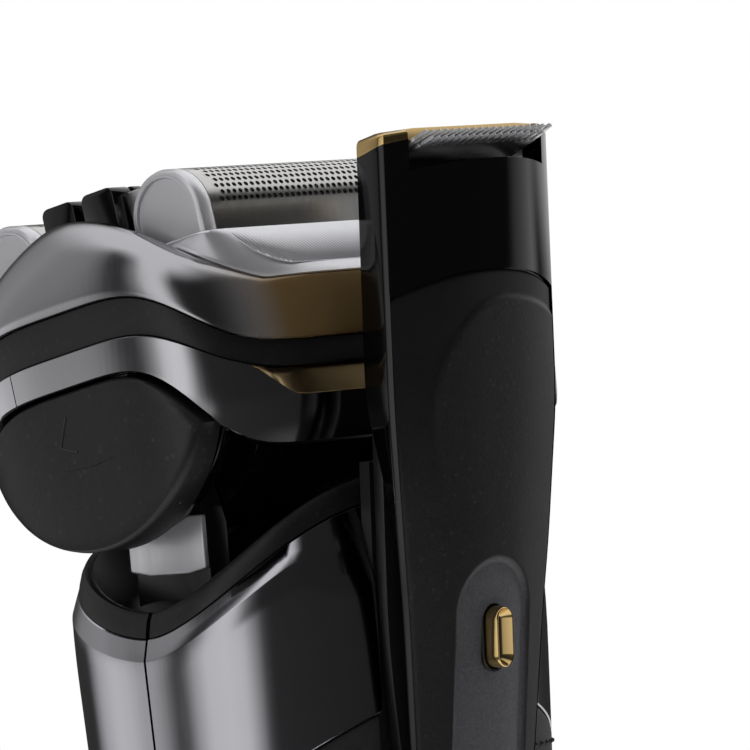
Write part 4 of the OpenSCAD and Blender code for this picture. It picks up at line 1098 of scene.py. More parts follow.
def build_handle():
    rear = cut(casing_half("rear_casing", 0, 180), track_cutter(0.1))
    fit(beveled(rear, 0.14, 50), casing_chrome, "rear_shell")
    front = casing_half("front_casing", 180, 360)
    half, low, high = PANEL_GAP
    cut(front, block((-half, -FAR, low), (half, -12, high)))
    fit(front, casing_chrome, "front_shell")
    rear_band = cut(collar("rear_rim_band", 0, 180), track_cutter(0.1))
    fit(beveled(rear_band, 0.14, 50), matte_black, "rear_collar")
    fit(collar("front_rim_band", 180, 360), matte_black, "front_collar")
    rear_grips()
    gap = block((-half - 0.2, -FAR, low - 0.2), (half + 0.2, -12, 140))
    grip = grip_skin("front_grip_skin", 180, 360, gap)
    fit(smoothed(beveled(grip, 0.25, 50)), rubber, "grip_front")

    def beside_panel(x, y, z):
        return abs(x) > half + NUB_PITCH or z < low - NUB_PITCH

    detail(grip_nubs("front_grip_nubs", 184, 356, beside_panel), rubber, "grip_front")
    fit(satin_deck(), satin_black, "shoulder")
    fit_softened({
        "neck_yoke": (0.5, 35, satin_black),
        "neck_plate_left": (0.22, 35, silver),
        "neck_plate_right": (0.22, 35, silver),
        "front_panel": (0.2, 50, piano_black),
        "power_ring": (0.25, 35, gold),
        "power_button": (0.3, 35, charcoal),
        "lock_switch": (0.35, 35, matte_black),
        "bottom_cap": (0.25, 50, matte_black),
    })


build_handle()

# ---------------------------------------------------------------- head

HEAD_STEPS = 176
# How far the dome comes in at its ends and on its long faces, how far the trim is tucked in below, and
# the gap between the two halves of the trim, in degrees from each end.
DOME_IN_X = 4.6
DOME_IN_Y = 0.3
TRIM_TUCK = 2.3
TRIM_GAP = 0.12
# Height of the champagne step at the back of the trim, beyond the trim's rounded edge.
STEP_EDGE = 0.35
STEP_H = 3.1
LOBE_INNER_X = 27.4


def dome_section(t):
    """The dome: a soft quarter-round that comes in at the ends, a rolled top edge, and its inside."""
    low = dome_low(t) + 0.1
    top = dome_top(t)
    start = low + 0.35
    outer = [(0.3, 0.3, low), (0.06, 0.06, low + 0.1), (0, 0, start)]
    for k in range(1, 14):
        turn = math.radians(k * 84 / 13)
        come_in = 1 - math.cos(turn)
        rise = math.sin(turn) * (top - start)
        outer.append((DOME_IN_X * come_in, DOME_IN_Y * come_in, start + rise))
    outer += [(4.75, 0.42, top - 0.05), (5.1, 0.75, top)]
    inner = [(5.9, 1.3, top - 0.25), (5.6, 1.5, mixed(top, low, 0.3)), (3.4, 1.6, mixed(top, low, 0.7))]
    inner += [(1.6, 1.6, low)]
    return [head_point(t, z, inset_x, inset_y) for inset_x, inset_y, z in outer + inner]


def band_section(t):
    """The dark band between the trim and the dome, its edges rounded."""
    low = trim_top(t) + 0.06
    high = dome_low(t) + 0.06
    outer = [(0.75, low), (0.55, low + 0.12), (0.5, low + 0.4)]
    outer += [(0.5, high - 0.4), (0.55, high - 0.12), (0.75, high)]
    inner = [(TRIM_WALL, high), (TRIM_WALL, low)]
    return [head_point(t, z, inset) for inset, z in outer + inner]


def step_share(x):
    """How deep the champagne step is at a distance x from the middle: full behind, run out by the corner."""
    return 1 - eased(19.5, 26.5, abs(x))


def trim_section(t):
    """The bright trim: rounded top edge, a sloping champagne step at the back, and a tucked lower edge."""
    low = trim_low(t)
    high = trim_top(t)
    height = high - low
    tuck = TRIM_TUCK * (1 - side_share(t) ** 6)
    step = step_share(head_point(t, 0, 0)[0]) * (math.sin(t) > 0)
    break_z = high - min(STEP_EDGE + STEP_H * step, 0.45 * height)
    rows = []
    for k in range(9):
        z = mixed(low + 0.15, break_z - 0.1, k / 9)
        rows.append((0, tuck * (1 - (z - low) / height) ** 2, z))
    rest = tuck * ((high - break_z) / height) ** 2
    depth = min(1, 2.2 * step)
    rows += [(0, rest * (1 - depth * 0.1), break_z)]
    rows += [(0, mixed(rest * 0.8, rest + 0.08, depth), break_z + 0.1)]
    rows += [(0, mixed(rest * 0.3, rest + 0.62, depth), mixed(break_z, high, 0.55))]
    rows += [(0.02, mixed(0.02, rest + 1.0, depth), high - 0.16)]
    rows += [(0.12, mixed(0.12, rest + 1.08, depth), high - 0.06)]
    rows += [(0.35, mixed(0.35, 1.5, depth), high), (TRIM_WALL, TRIM_WALL + 0.3, high)]
    rows += [(TRIM_WALL, TRIM_WALL + tuck, low), (0.3, tuck + 0.3, low)]
    return [head_point(t, z, inset_x, inset_y) for inset_x, inset_y, z in rows]


def trim_ring(name, first, last):
    angles = head_angles(first + TRIM_GAP, last - TRIM_GAP, HEAD_STEPS // 2)
    return swept(name, [trim_section(t) for t in angles], False, HEAD, sharp=22)


def gild_step(piece):
    """Gives the sloping step at the back of the trim its champagne finish."""
    piece.data.materials.append(champagne)
    turn = HEAD.inverted()
    for face in piece.data.polygons:
        centre = turn @ (face.center / MM)
        facing = turn.to_3x3() @ face.normal
        top = mixed(TRIM_TOP_MID, TRIM_TOP_SIDE, min(1, abs(centre.x) / HEAD_HALF_W) ** TOP_SHARP)
        share = step_share(centre.x)
        high = centre.z > top - STEP_EDGE - STEP_H * share
        if high and centre.y > 20 and share > 0.03 and facing.y > 0.6:
            face.material_index = 1


def lobe_edge(y):
    """The lower edge of the trim, seen from the side, less a small gap."""
    low = TRIM_BACK_LOW if y > 0 else TRIM_FRONT_LOW
    level = end_share(y, HEAD_HALF_D - TRIM_WALL)
    return low + (TRIM_SIDE_LOW - low) * level**LOW_SHARP - 0.3


def lobe_outline():
    """Outline of a release lobe in the head's Y and Z: round below, with the trim's edge above."""
    points = []
    for k in range(121):
        turn = math.radians(180 + 180 * k / 120)
        y = LOBE_R * math.cos(turn)
        z = LOBE_R * math.sin(turn)
        if z < lobe_edge(1.04 * y):
            points.append((y, z))
    ys = [mixed(points[-1][0], points[0][0], k / 60) for k in range(1, 60)]
    return points + [(y, lobe_edge(1.04 * y)) for y in ys]


def shrunk(outline, inset):
    """The outline moved inwards by inset along its normals."""
    made = []
    count = len(outline)
    for i in range(count):
        ahead = Vector(outline[(i + 1) % count]) - Vector(outline[i - 1])
        ahead.normalize()
        made.append((outline[i][0] - ahead.y * inset, outline[i][1] + ahead.x * inset))
    return made


def lobe_x(y, z):
    """How far out a lobe's face stands: it follows the head's rounded end, and rolls in at its rim."""
    return HEAD_HALF_W * end_share(y, HEAD_HALF_D) - 0.5 * (min(1, math.hypot(y, z) / LOBE_R)) ** 6


def release_lobe(name, side):
    """A pad whose face follows the head's rounded end, with a soft rolled edge."""
    outline = lobe_outline()
    count = len(outline)
    rings = [shrunk(outline, inset) for inset in (0.3, 0, 0, 0.12, 0.4, 0.9, 1.6)]
    depths = [None, None, 1.1, 0.45, 0.14, 0.03, 0]
    points = []
    for ring, depth in zip(rings, depths):
        for y, z in ring:
            x = LOBE_INNER_X if depth is None else max(LOBE_INNER_X + 0.2, lobe_x(y, z) - depth)
            points.append((side * x, y, z))
    middle = (sum(p[0] for p in outline) / count, sum(p[1] for p in outline) / count)
    for share in (0.85, 0.7, 0.55, 0.4, 0.25, 0.12):
        for y, z in rings[-1]:
            y = mixed(middle[0], y, share)
            z = mixed(middle[1], z, share)
            points.append((side * lobe_x(y, z), y, z))
    rows = len(points) // count
    faces = grid_faces(rows, count, False, True)
    faces += [tuple(range(count)), tuple(range((rows - 1) * count, rows * count))]
    return from_points(name, points, faces, HEAD)


def lobe_marks(name, side):
    """Two short strokes that make a worn arrow on a release lobe."""
    strokes = []
    for (y0, z0), (y1, z1), steps in (((-1.6, -2.2), (-3.4, -5.6), 6), ((-3.4, -5.6), (-0.9, -6.6), 5)):
        spots = [(mixed(y0, y1, k / steps), mixed(z0, z1, k / steps)) for k in range(steps + 1)]
        strokes.append([(side * (lobe_x(y, z) + 0.005), y, z) for y, z in spots])
    return ridges(name, strokes, matte_black)


def build_head():
    angles = head_angles(0, 360, HEAD_STEPS)[:-1]
    fit(swept("nickel_dome", [dome_section(t) for t in angles], True, HEAD), dome_chrome, "head_dome")
    fit(swept("dark_band", [band_section(t) for t in angles], True, HEAD), matte_black, "head_band")
    back = trim_ring("rear_trim_ring", 180 - TRIM_SPLIT, TRIM_SPLIT)
    gild_step(fit(back, trim_chrome, "rear_bezel"))
    front = trim_ring("front_trim_ring", TRIM_SPLIT, 540 - TRIM_SPLIT)
    fit(front, trim_chrome, "front_bezel")
    for side, node_name in ((1, "release_button_left"), (-1, "release_button_right")):
        fit(release_lobe(node_name + "_pad", side), lobe_black, node_name)
        detail(lobe_marks(node_name + "_marks", side), charcoal, node_name)
    fit_softened({"head_base": (0.3, 50, piano_black)})


build_head()

# ---------------------------------------------------------------- cassette

FOIL_CELL_X = 1.0
FOIL_CELL_S = 0.84
FOIL_HOLE = 0.7
FOIL_ROWS = 19
MARGIN_ROWS = 6
SMOOTH_LOW = 12.4
# The knurled field: its ends as shares of the slope, its half-length, how much shorter it is at its foot,
# the pitch and slant of its ribs, and the steps of its plate.
KNURL_FOOT = 0.16
KNURL_SPAN = 0.76
KNURL_HALF = 22.4
KNURL_DRAW = 7
KNURL_PITCH = 0.55
KNURL_SLANT = 0.62 * 7.2
KNURL_ROWS = 18
KNURL_COLUMNS = 40
CREST_Y = 19.5


def squared(a, b, t):
    """A point on a rectangle with its corners just rounded."""
    return oval(a, b, 24, t)


def rim_section(t):
    """The cassette's rim: an outer skirt, the sloping ledge that lies on the dome, and the well's wall."""
    edge_z = min(dome_top(t) + 0.12, LEDGE_TOP - 0.9)
    sunk = eased(10.5, 14, dome_top(t))
    lip_x = mixed(4.85, 5.4, sunk)
    lip_y = mixed(0.5, 1.2, sunk)
    low = head_point(t, 5.6, 6.4, 2.6)
    skirt = head_point(t, edge_z - 0.35, 6.1, 2.0)
    lip_low = head_point(t, edge_z, lip_x + 0.15, lip_y + 0.15)
    lip = head_point(t, edge_z + 0.18, lip_x, lip_y)
    lip_top = head_point(t, edge_z + 0.5, lip_x + 0.12, lip_y + 0.12)
    crest = (*squared(26.35, 19.75, t), LEDGE_TOP - 0.12)
    slope = [tuple(mixed(a, b, k) for a, b in zip(lip_top, crest)) for k in (0.04, 0.3, 0.6, 0.9, 0.97)]
    top = [(*squared(26.22, 19.62, t), LEDGE_TOP), (*squared(26.0, 19.4, t), LEDGE_TOP - 0.02)]
    well = [(*squared(25.85, 19.25, t), z) for z in (LEDGE_TOP - 0.4, 6.6)]
    return [low, skirt, lip_low, lip, lip_top, *slope, *top, *well, (*squared(24, 17.4, t), 5.6)]


def ledge_point(x, k, side, lift_by):
    """A point on the sloping ledge of a long face: k is 0 at its lower lip and 1 at its crest."""
    low_y = HEAD_HALF_D - 0.62
    low_z = LEDGE_LOW + 0.35
    high_z = LEDGE_TOP - 0.12
    out = Vector((0, high_z - low_z, low_y - CREST_Y)).normalized()
    return x, side * (mixed(low_y, CREST_Y, k) + out.y * lift_by), mixed(low_z, high_z, k) + out.z * lift_by


def knurl_edge(k):
    """Half-length of the knurled field at height k on the slope: it draws in along a round curve."""
    below = 1 - min(1, max(0, (k - KNURL_FOOT) / KNURL_SPAN))
    return KNURL_HALF - KNURL_DRAW * (1 - (1 - below**1.6) ** (1 / 1.6))


def knurl_plate(name, side):
    """A thin plate on the ledge, in the field's outline."""
    rows = KNURL_ROWS + 1
    columns = KNURL_COLUMNS + 1
    points = []
    for lift_by in (0.03, -0.2):
        for row in range(rows):
            k = KNURL_FOOT + KNURL_SPAN * (row / KNURL_ROWS) ** 2
            half = knurl_edge(k)
            xs = [mixed(-half, half, i / KNURL_COLUMNS) for i in range(columns)]
            points += [ledge_point(x, k, side, lift_by) for x in xs]
    size = rows * columns
    faces = grid_faces(rows, columns, False, False)
    faces += [tuple(size + v for v in reversed(f)) for f in faces]
    rim = grid_rim(rows, columns)
    faces += [(a, b, size + b, size + a) for a, b in zip(rim, rim[1:] + rim[:1])]
    return from_points(name, points, faces, HEAD)


def knurl_field(name, side):
    """A thin plate on the ledge, under slanting ribs drawn coarser than real ones so that they show."""
    runs = []
    start = -30.0
    while start < 30:
        run = []
        for i in range(25):
            rise = 0.74 * i / 24
            k = KNURL_FOOT + 0.01 + rise
            x = start + KNURL_SLANT * rise
            if abs(x) < knurl_edge(k) - 0.05:
                run.append(ledge_point(x, k, side, 0.05))
        if len(run) > 1:
            runs.append([run[0], run[-1]])
        start += KNURL_PITCH
    return joined(name, [knurl_plate(name, side), ridges(name + "_ribs", runs, silver)])


def foil_cell():
    """One cell of the foil, flat, with an eight-cornered hole through it and no outer sides."""
    w = FOIL_CELL_X / 2
    h = FOIL_CELL_S / 2
    border = [(-w, -h), (0, -h), (w, -h), (w, 0), (w, h), (0, h), (-w, h), (-w, 0)]
    hole = []
    for x, y in border:
        turn = math.atan2(y * FOIL_CELL_X, x * FOIL_CELL_S)
        hole.append((FOIL_HOLE * w * math.cos(turn), FOIL_HOLE * h * math.sin(turn)))
    points = []
    for ring, z in ((border, FOIL_T), (hole, FOIL_T), (hole, 0), (border, 0)):
        points += [(x, y, z) for x, y in ring]
    sides = len(border)
    faces = []
    for i in range(sides):
        j = (i + 1) % sides
        faces += [(k + i, k + j, k + sides + j, k + sides + i) for k in (0, sides, 2 * sides)]
    return linked("foil_cell", raw_mesh("foil_cell", points, [], faces))


def foil_sheet(name, tree, cell, across):
    """The foil: holes over the arch, a plain band down each long side, all one closed thin sheet."""
    radius = FOIL_R - FOIL_T
    columns = int((2 * FOIL_HALF - 3) / FOIL_CELL_X)
    steps = 2 * columns
    half = FOIL_CELL_X / 2
    rows_half = FOIL_ROWS * FOIL_CELL_S / 2
    side_low = radius * math.pi / 2 + (FOIL_AXIS_Z - SMOOTH_LOW)
    lines = [mixed(-side_low, -rows_half, k / MARGIN_ROWS) for k in range(MARGIN_ROWS)]
    lines += [-rows_half + k * FOIL_CELL_S for k in range(FOIL_ROWS + 1)]
    lines += [mixed(rows_half, side_low, (k + 1) / MARGIN_ROWS) for k in range(MARGIN_ROWS)]
    first = -steps // 2 * half
    stops = [-FOIL_HALF, mixed(-FOIL_HALF, first, 0.5)] + [first + i * half for i in range(steps + 1)]
    stops += [mixed(-first, FOIL_HALF, 0.5), FOIL_HALF]
    last_i = len(stops) - 1
    last_j = len(lines) - 1
    points = []
    index = {}

    def spot(i, j, level):
        key = (i, j, level)
        if key not in index:
            index[key] = len(points)
            points.append((stops[i], lines[j], FOIL_T if level else 0))
        return index[key]

    holes = []
    taken = set()
    for row in range(FOIL_ROWS):
        shift = row % 2
        j = MARGIN_ROWS + row
        for c in range(columns - shift):
            i = 2 + 2 * c + shift
            taken.update({(i, j), (i + 1, j)})
            holes.append((stops[i + 1], (lines[j] + lines[j + 1]) / 2, 0))
    faces = []
    for i in range(last_i):
        for j in range(last_j):
            if (i, j) not in taken:
                ring = [(i, j), (i + 1, j), (i + 1, j + 1), (i, j + 1)]
                faces.append([spot(a, b, 1) for a, b in ring])
                faces.append([spot(a, b, 0) for a, b in reversed(ring)])
    walls = []
    for i in range(last_i):
        walls += [((i, 0), (i + 1, 0)), ((i + 1, last_j), (i, last_j))]
    for j in range(last_j):
        walls += [((0, j + 1), (0, j)), ((last_i, j), (last_i, j + 1))]
    faces += [[spot(*a, 0), spot(*b, 0), spot(*b, 1), spot(*a, 1)] for a, b in walls]
    mesh = raw_mesh(name, points + holes, [], faces)
    marked_points(mesh, "cell", "BOOLEAN", [False] * len(points) + [True] * len(holes))
    sizes = {"Bend radius": radius * MM, "Across": across * MM, "Axis height": FOIL_AXIS_Z * MM}
    piece = by_nodes(tree, mesh, {"Cell": cell, **sizes, "Material": foil_steel})
    piece.data.transform(Matrix.Translation(HEAD.translation * MM) @ HEAD.to_3x3().to_4x4())
    with edited(piece.data) as bm:
        bmesh.ops.remove_doubles(bm, verts=bm.verts, dist=5e-6)
        bmesh.ops.recalc_face_normals(bm, faces=bm.faces)
    return smoothed(piece, 40)


def arch_outline(inset, low, steps=28):
    """Outline of a foil's end: straight legs with cut corners under a half-round, moved in by inset."""
    r = FOIL_R - inset
    turns = [math.pi * k / steps for k in range(steps + 1)]
    arch = [(-r * math.cos(a), FOIL_AXIS_Z + r * math.sin(a)) for a in turns]
    return [(1.2 - r, low), (-r, low + 1.1), *arch, (r, low + 1.1), (r - 1.2, low)]


def end_cap(name, y, side):
    """A cap on the foil's end: a raised bright rim round a slightly sunken, flat face."""
    x0 = FOIL_HALF
    x1 = FOIL_HALF + END_CAP_T
    rings = [(x0, 0.1, 0), (x0 + 0.2, 0, 0), (x1 - 0.75, 0, 0), (x1 - 0.3, 0.16, 0.1), (x1 - 0.05, 0.5, 0.3)]
    rings += [(x1, 0.75, 0.5), (x1 - 0.05, 0.95, 0.7), (x1 - 0.4, 1.1, 0.8), (x1 - 0.42, 1.5, 1.1)]
    sections = []
    for x, inset, rise in rings:
        sections.append([(side * x, y + a, b) for a, b in arch_outline(inset, RAIL_LOW + 1.4 + 0.4 * rise)])
    return swept(name, sections, False, HEAD, sharp=40)


def foil_frame(name, y):
    """Both end caps and the two rails between them."""
    parts = [end_cap(name, y, 1), end_cap(name, y, -1)]
    outer = FOIL_R - FOIL_T - 0.05
    for side in (-1, 1):
        low_y, high_y = sorted((y + side * (outer - 1.2), y + side * outer))
        outline = [(low_y, RAIL_LOW), (high_y, RAIL_LOW), (high_y, 14), (low_y, 14)]
        sections = [[(x, a, b) for a, b in outline] for x in (-FOIL_HALF, FOIL_HALF)]
        parts.append(swept("rail", sections, False, HEAD))
    return joined(name, parts)


def build_cassette():
    angles = head_angles(0, 360, 200)[:-1]
    rim = swept("cassette_rim", [rim_section(t) for t in angles], True, HEAD)
    floor = cut(softened("cassette_frame", 0), block((-40, -40, 7.2), (40, 40, 40), HEAD))
    fit(joined("cassette_rim", [rim, floor]), silver, "cassette_frame")
    fit(knurl_field("rear_knurl", 1), silver, "rear_trim")
    fit(knurl_field("front_knurl", -1), silver, "front_trim")
    tree = make_foil_tree()
    cell = foil_cell()
    fit(foil_sheet("rear_foil_sheet", tree, cell, FOIL_Y), foil_steel, "rear_foil")
    fit(foil_sheet("front_foil_sheet", tree, cell, -FOIL_Y), foil_steel, "front_foil")
    bpy.data.objects.remove(cell)
    fit(foil_frame("rear_foil_ends", FOIL_Y), silver, "rear_foil_frame")
    fit(foil_frame("front_foil_ends", -FOIL_Y), silver, "front_foil_frame")
    fit_softened({
        "middle_trimmer": (0.12, 40, piano_black),
        "middle_comb": (0.12, 40, piano_black),
        "skin_guard": (0.12, 40, blade_steel),
    })


build_cassette()

# ---------------------------------------------------------------- precision trimmer

PANEL_REACH = 0.985
PANEL_ROWS = 380
PANEL_COLUMNS = 150
CROWN_STEPS = 40
BLADE_LEAN = Matrix.Rotation(math.radians(26), 4, "X")
BLADE = SLIDER @ Matrix.Translation((0, 6.1, 1)) @ BLADE_LEAN
BLADE_REACH = 4.1
BLADE_BACK = -2.6
BLADE_T = 0.45
TOOTH_LEN = 1.9
TOOTH_SHARE = 0.27
WAIST_SHARE = 0.62
COMB_EDGE = 11.6
# How far below the crown the panel's face lies in the latch's hollow, and on its upper shoulder.
HOLLOW_DEPTH = 0.62
SHOULDER_DEPTH = 0.32
# The soft step that arcs over the panel's top: its centre from the seam and the left side, and its radius.
STEP_DOWN = 15.4
STEP_ACROSS = 17.2
STEP_R = 12.15


def seam_z(u):
    """The seam between the glossy top and the matt panel: an arch that drops to the sides."""
    return PANEL_TOP + 1.9 - 2.9 * abs(u) ** 2.2


def flank_low(z):
    """Lower edge of the shell's sides: level at the top, then an S-curve that draws in to a thin lip."""
    return mixed(CARRIAGE_T, slider_edge(z) - 0.9, eased(-24, -50, z))


def seam_shift(level, u):
    """Height at a share u of the width, on a row that is level at its own height away from the seam."""
    seam = seam_z(min(1, abs(u)))
    if level > PANEL_TOP:
        return seam * level / PANEL_TOP
    return seam + (level - PANEL_TOP) * (-SLIDER_LEN - seam) / (-SLIDER_LEN - PANEL_TOP)


def cap_low(y):
    """Lower edge of the gold cap, which rises from the back of the trimmer to its front."""
    return 0.05 + 3.0 * max(0, y - CARRIAGE_T) / 8.4


def flank(w, low, edge):
    """Outline of a side, up to the crown: rounded at its foot and at its upper edge."""
    foot = [(w - 0.7, low), (w - 0.44, low + 0.1), (w - 0.38, low + 0.35)]
    return foot, [(w, edge - 0.7), (w - 0.03, edge - 0.38), (w - 0.14, edge - 0.08)]


def trimmer_section(level, sunk):
    """Section across the trimmer's shell: side, crown, side, then its hollow. Below the seam the crown
    is sunk by the panel's thickness."""
    at_side = seam_shift(level, 1)
    w = slider_w(at_side)
    edge = slider_edge(at_side)
    low = flank_low(at_side)
    foot, shoulder = flank(w, low, edge)
    side = [*foot, (w - 0.12, mixed(low, edge, 0.6)), *shoulder]
    points = [(x, y, at_side) for x, y in side]
    for k in range(CROWN_STEPS + 1):
        u = PANEL_REACH * math.cos(math.pi * k / CROWN_STEPS)
        points.append(crown_point(seam_shift(level, u), u, sunk if 1 <= k < CROWN_STEPS else 0))
    points += [(-x, y, at_side) for x, y in reversed(side)]
    points.append((-w + 1.6, low, at_side))
    for k in range(21):
        u = -math.cos(math.pi * k / 20)
        x, y, _ = crown_point(seam_shift(level, u), u * 0.9, PANEL_T + 1.7)
        points.append((x * (1 - 1.2 / w), max(y, low + 0.25), seam_shift(level, u)))
    points.append((w - 1.6, low, at_side))
    lift_by = eased(-9, 0, level)
    return [(x, y, z + lift_by * cap_low(y)) for x, y, z in points]


def panel_shoulder(u, z):
    """1 on the panel's upper shoulder, outside the arc of its soft step, and 0 inside it."""
    from_top = seam_z(u) - z
    from_left = slider_w(z) * (PANEL_REACH - u)
    corner = math.hypot(max(0, STEP_DOWN - from_top), max(0, STEP_ACROSS - from_left))
    return eased(STEP_R - 0.45, STEP_R + 0.45, corner) * (1 - eased(13, 25, from_top))


def panel_rise(u, z):
    """Relief of the matt panel below its crown: a rounded edge, and the soft step that arcs over its top."""
    from_edge = min(seam_z(u) - z, slider_w(z) * (PANEL_REACH - abs(u)))
    return 0.35 * (1 - eased(0, 0.7, from_edge)) ** 2 + SHOULDER_DEPTH * panel_shoulder(u, z)


def hollow_share(u, z):
    """How far inside the latch's hollow a point is: 0 outside, 1 on its floor."""
    top = RECESS_TOP - RECESS_HALF
    away = math.hypot(u * slider_w(z), max(0, z - top)) - RECESS_HALF
    return eased(0.35, -0.55, away) * eased(RECESS_LOW - 5, RECESS_LOW + 2, z)


def matt_panel():
    """The matt panel: a fine grid over the crown with its relief, and a wall and a flat back behind it."""
    rows = PANEL_ROWS + 1
    columns = PANEL_COLUMNS + 1
    rim = grid_rim(rows, columns)
    front = []
    back = []
    marks = {"hollow": [], "shoulder": []}
    for row in range(rows):
        for column in range(columns):
            u = PANEL_REACH * (1 - 2 * column / PANEL_COLUMNS)
            z = mixed(seam_z(u) - 0.15, -SLIDER_LEN + 0.3, row / PANEL_ROWS)
            corner = eased(1.3, 0, seam_z(u) - z) * eased(0.9, 1, abs(u) / PANEL_REACH)
            u *= 1 - 0.05 * corner**2
            hollow = hollow_share(u, z)
            front.append(crown_point(z, u, mixed(panel_rise(u, z), HOLLOW_DEPTH, hollow)))
            back.append(crown_point(z, u, PANEL_T))
            marks["hollow"].append(hollow)
            # The shoulder mark carries painted shade, which darkens the panel's upper shoulder.
            marks["shoulder"].append(panel_shoulder(u, z) * (1 - hollow))
    size = len(front)
    behind = {i: size + k for k, i in enumerate(rim)}
    faces = grid_faces(rows, columns, False, False)
    faces += [(a, b, behind[b], behind[a]) for a, b in zip(rim, rim[1:] + rim[:1])]
    mesh = raw_mesh("matt_panel", front + [back[i] for i in rim], [], faces, SLIDER)
    with edited(mesh) as bm:
        bmesh.ops.holes_fill(bm, edges=[e for e in bm.edges if e.is_boundary], sides=0)
        bmesh.ops.triangulate(bm, faces=[f for f in bm.faces if len(f.verts) > 4])
        bmesh.ops.recalc_face_normals(bm, faces=bm.faces)
    for attribute, values in marks.items():
        marked_points(mesh, attribute, "FLOAT", values + [0.0] * len(rim))
    return smoothed(linked("matt_panel", mesh), 40)


def toothed_edge(name, half, reach, lift_by, taper):
    """A row of teeth: a plate with a tapered tooth on every step."""
    root = reach - TOOTH_LEN
    outline = [(-half, BLADE_BACK), (half, BLADE_BACK), (half, root), (-half, root)]
    plate = [[(x, y, z) for x, y in outline] for z in (lift_by, BLADE_T + lift_by)]
    plate = beveled(swept("plate", plate, False, BLADE), 0.06, 50)
    teeth = int(2 * half / TOOTH_PITCH)
    start = -teeth / 2 * TOOTH_PITCH
    w = TOOTH_PITCH * TOOTH_SHARE
    tip_w = w * taper
    waist = TOOTH_LEN * WAIST_SHARE
    wedge = []
    for z, shrink in ((0, 0), (BLADE_T * 0.45, 0), (BLADE_T, 0.08)):
        tip = TOOTH_LEN + 0.3 - shrink
        side = [(w - shrink, 0, z), (w - shrink, waist, z), (tip_w, tip, z)]
        wedge.append([(-w + shrink, 0, z), *side, (-tip_w, tip, z), (-w + shrink, waist, z)])
    tooth = swept("tooth", wedge, False)
    tooth.data.transform(BLADE.to_3x3().to_4x4())
    points = [(start + i * TOOTH_PITCH, root - 0.3, lift_by) for i in range(teeth + 1)]
    mesh = raw_mesh(name, points, [], [], BLADE)
    row = by_nodes(row_tree, mesh, {"Part": tooth, "Material": blade_steel})
    bpy.data.objects.remove(tooth)
    return joined(name, [plate, row])


def comb_gap():
    """Room for the comb and its cutter in the top of the trimmer."""
    return block((-COMB_EDGE, -3.4, -2.9), (COMB_EDGE, 9, 0.5), BLADE)


def gold_band():
    """The cap: a band that thins towards the front, a small chamfer and a flat top cut back over the comb."""
    w = slider_w(0)
    foot, shoulder = flank(w, CARRIAGE_T, slider_edge(0))
    half = foot + shoulder
    turns = [math.pi * k / CROWN_STEPS for k in range(CROWN_STEPS + 1)]
    outline = half + [crown_point(0, PANEL_REACH * math.cos(a), 0)[:2] for a in turns]
    outline += [(-x, y) for x, y in reversed(half)]
    sections = []
    for share, inset in ((0, 0), (0.05, 0), (0.62, 0), (0.8, 0.1), (0.93, 0.32), (1, 0.7), (1, 2.2)):
        ring = []
        for x, y in outline:
            moved = y - inset if y > 3 else y
            high = 1.86 + 1.8 * y / slider_crown(0)
            ring.append((x * (w - inset) / w, moved, mixed(cap_low(y), high, share)))
        sections.append(ring)
    cap = swept("gold_band", sections, False, SLIDER)
    cut(cap, comb_gap(), block((-COMB_EDGE, 0.8, -3), (COMB_EDGE, 12.8, 9), BLADE))
    return smoothed(beveled(cap, 0.08, 40))


def latch_ring(inset, depth, steps=14):
    """A rounded pill outline round the latch, in by inset, at a height above the trimmer's track."""
    r = LATCH_W / 2 - inset
    straight = (LATCH_LEN - LATCH_W) / 2
    ring = []
    for side in (1, -1):
        for turn in [math.pi * k / steps for k in range(steps + 1)]:
            along_z = side * (straight + r * math.sin(turn))
            ring.append((side * r * math.cos(turn), depth, LATCH_Z + along_z))
    return ring


def latch_pill():
    """The gold latch: sides that draw in a little, a slim rounded brim, and a deep oval trough."""
    crown = slider_crown(LATCH_Z)
    face = crown + 1.3
    rings = [(0.05, 4.6), (-0.04, 4.8), (-0.04, crown - 0.7)]
    rings += [(0.15, face - 0.22), (0.2, face - 0.08), (0.29, face), (0.36, face - 0.02), (0.42, face - 0.1)]
    rings += [(0.94, face - 1.08), (1.08, face - 1.22), (1.38, face - 1.3)]
    return swept("gold_latch", [latch_ring(*ring) for ring in rings], False, SLIDER)


def latch_gap():
    """Dark lining of the slot round the latch."""
    floor = slider_crown(LATCH_Z) - 0.7
    rings = [(-0.35, floor - 1), (-0.45, floor + 0.12), (-0.4, floor + 0.22)]
    rings += [(-0.15, floor + 0.2), (-0.1, floor - 1)]
    return swept("latch_slot_lining", [latch_ring(*ring) for ring in rings], True, SLIDER)


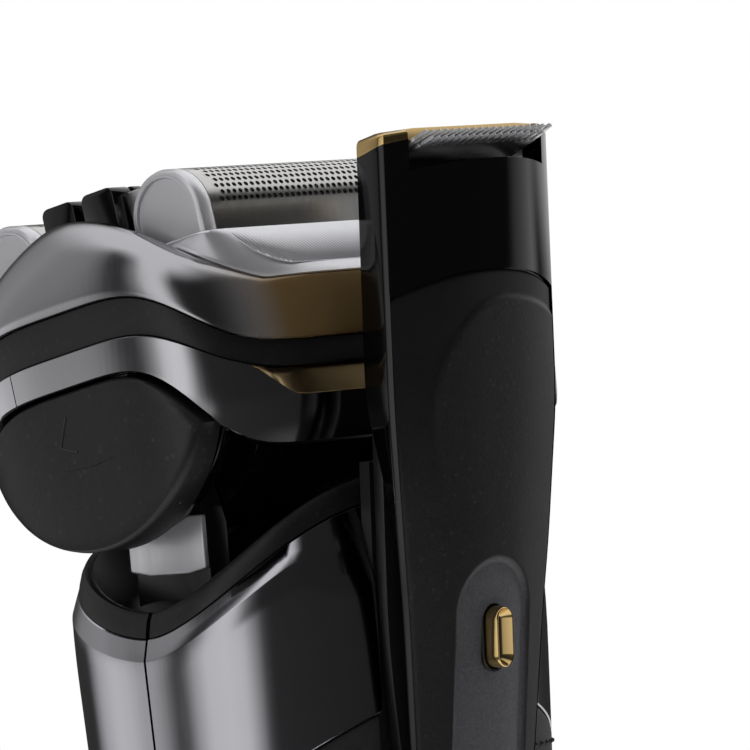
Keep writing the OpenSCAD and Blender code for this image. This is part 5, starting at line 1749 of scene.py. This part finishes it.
def latch_cutter(clearance):
    return swept("cutter", [latch_ring(-clearance, depth) for depth in (3, 14)], False, SLIDER)


def carriage_plate():
    """The sliding plate: as broad as its track, and narrower towards its foot."""
    side = [(11.0, -0.6), (11.3, -0.9)]
    side += [(mixed(11.3, 7.9, eased(-50, -92, z) * 1.12), z) for z in range(-48, -87, -2)]
    outline = side + [(-x, z) for x, z in reversed(side)]
    plate = prism("carriage_plate", outline, 0.0, CARRIAGE_T - 0.02, SLIDER)
    wall = [(-12.4, -15), (12.4, -15), (12.4, 1.9), (-12.4, 1.9)]
    wall = prism("rear_wall", wall, 1.3, CARRIAGE_T - 0.01, SLIDER)
    return joined("carriage_plate", [beveled(plate, 0.12, 50), wall])


def trimmer_shell():
    below = [mixed(-SLIDER_LEN, PANEL_TOP, k / 90) for k in range(91)]
    above = [mixed(PANEL_TOP + 0.02, 0, k / 24) for k in range(25)]
    sections = [trimmer_section(level, PANEL_T + 0.08) for level in below]
    sections += [trimmer_section(level, 0) for level in above]
    return swept("glossy_shell", sections, False, SLIDER, sharp=40)


def build_trimmer():
    shell = cut(trimmer_shell(), comb_gap(), latch_cutter(0.3))
    fit(smoothed(shell, 40), piano_black, "slider_shell")
    panel = cut(matt_panel(), latch_cutter(0.2))
    fit(smoothed(panel, 40), panel_charcoal, "slider_panel")
    fit(carriage_plate(), guide_black, "slider_carriage")
    fit(gold_band(), gold, "gold_cap")
    fit(toothed_edge("comb_teeth", COMB_HALF, BLADE_REACH, 0, 0.35), blade_steel, "trimmer_comb")
    cutter = toothed_edge("cutter_teeth", COMB_HALF - 1.1, BLADE_REACH - 0.5, -BLADE_T - 0.1, 0.3)
    fit(cutter, blade_steel, "trimmer_cutter")
    fit(latch_pill(), latch_gold, "latch_button")
    detail(latch_gap(), matte_black, "slider_panel")


build_trimmer()

# ---------------------------------------------------------------- CAD pieces that keep their mesh

for node_name, material in kept.items():
    shown = frame["nodes"][node_name]
    shown.data.materials.clear()
    shown.data.materials.append(material)
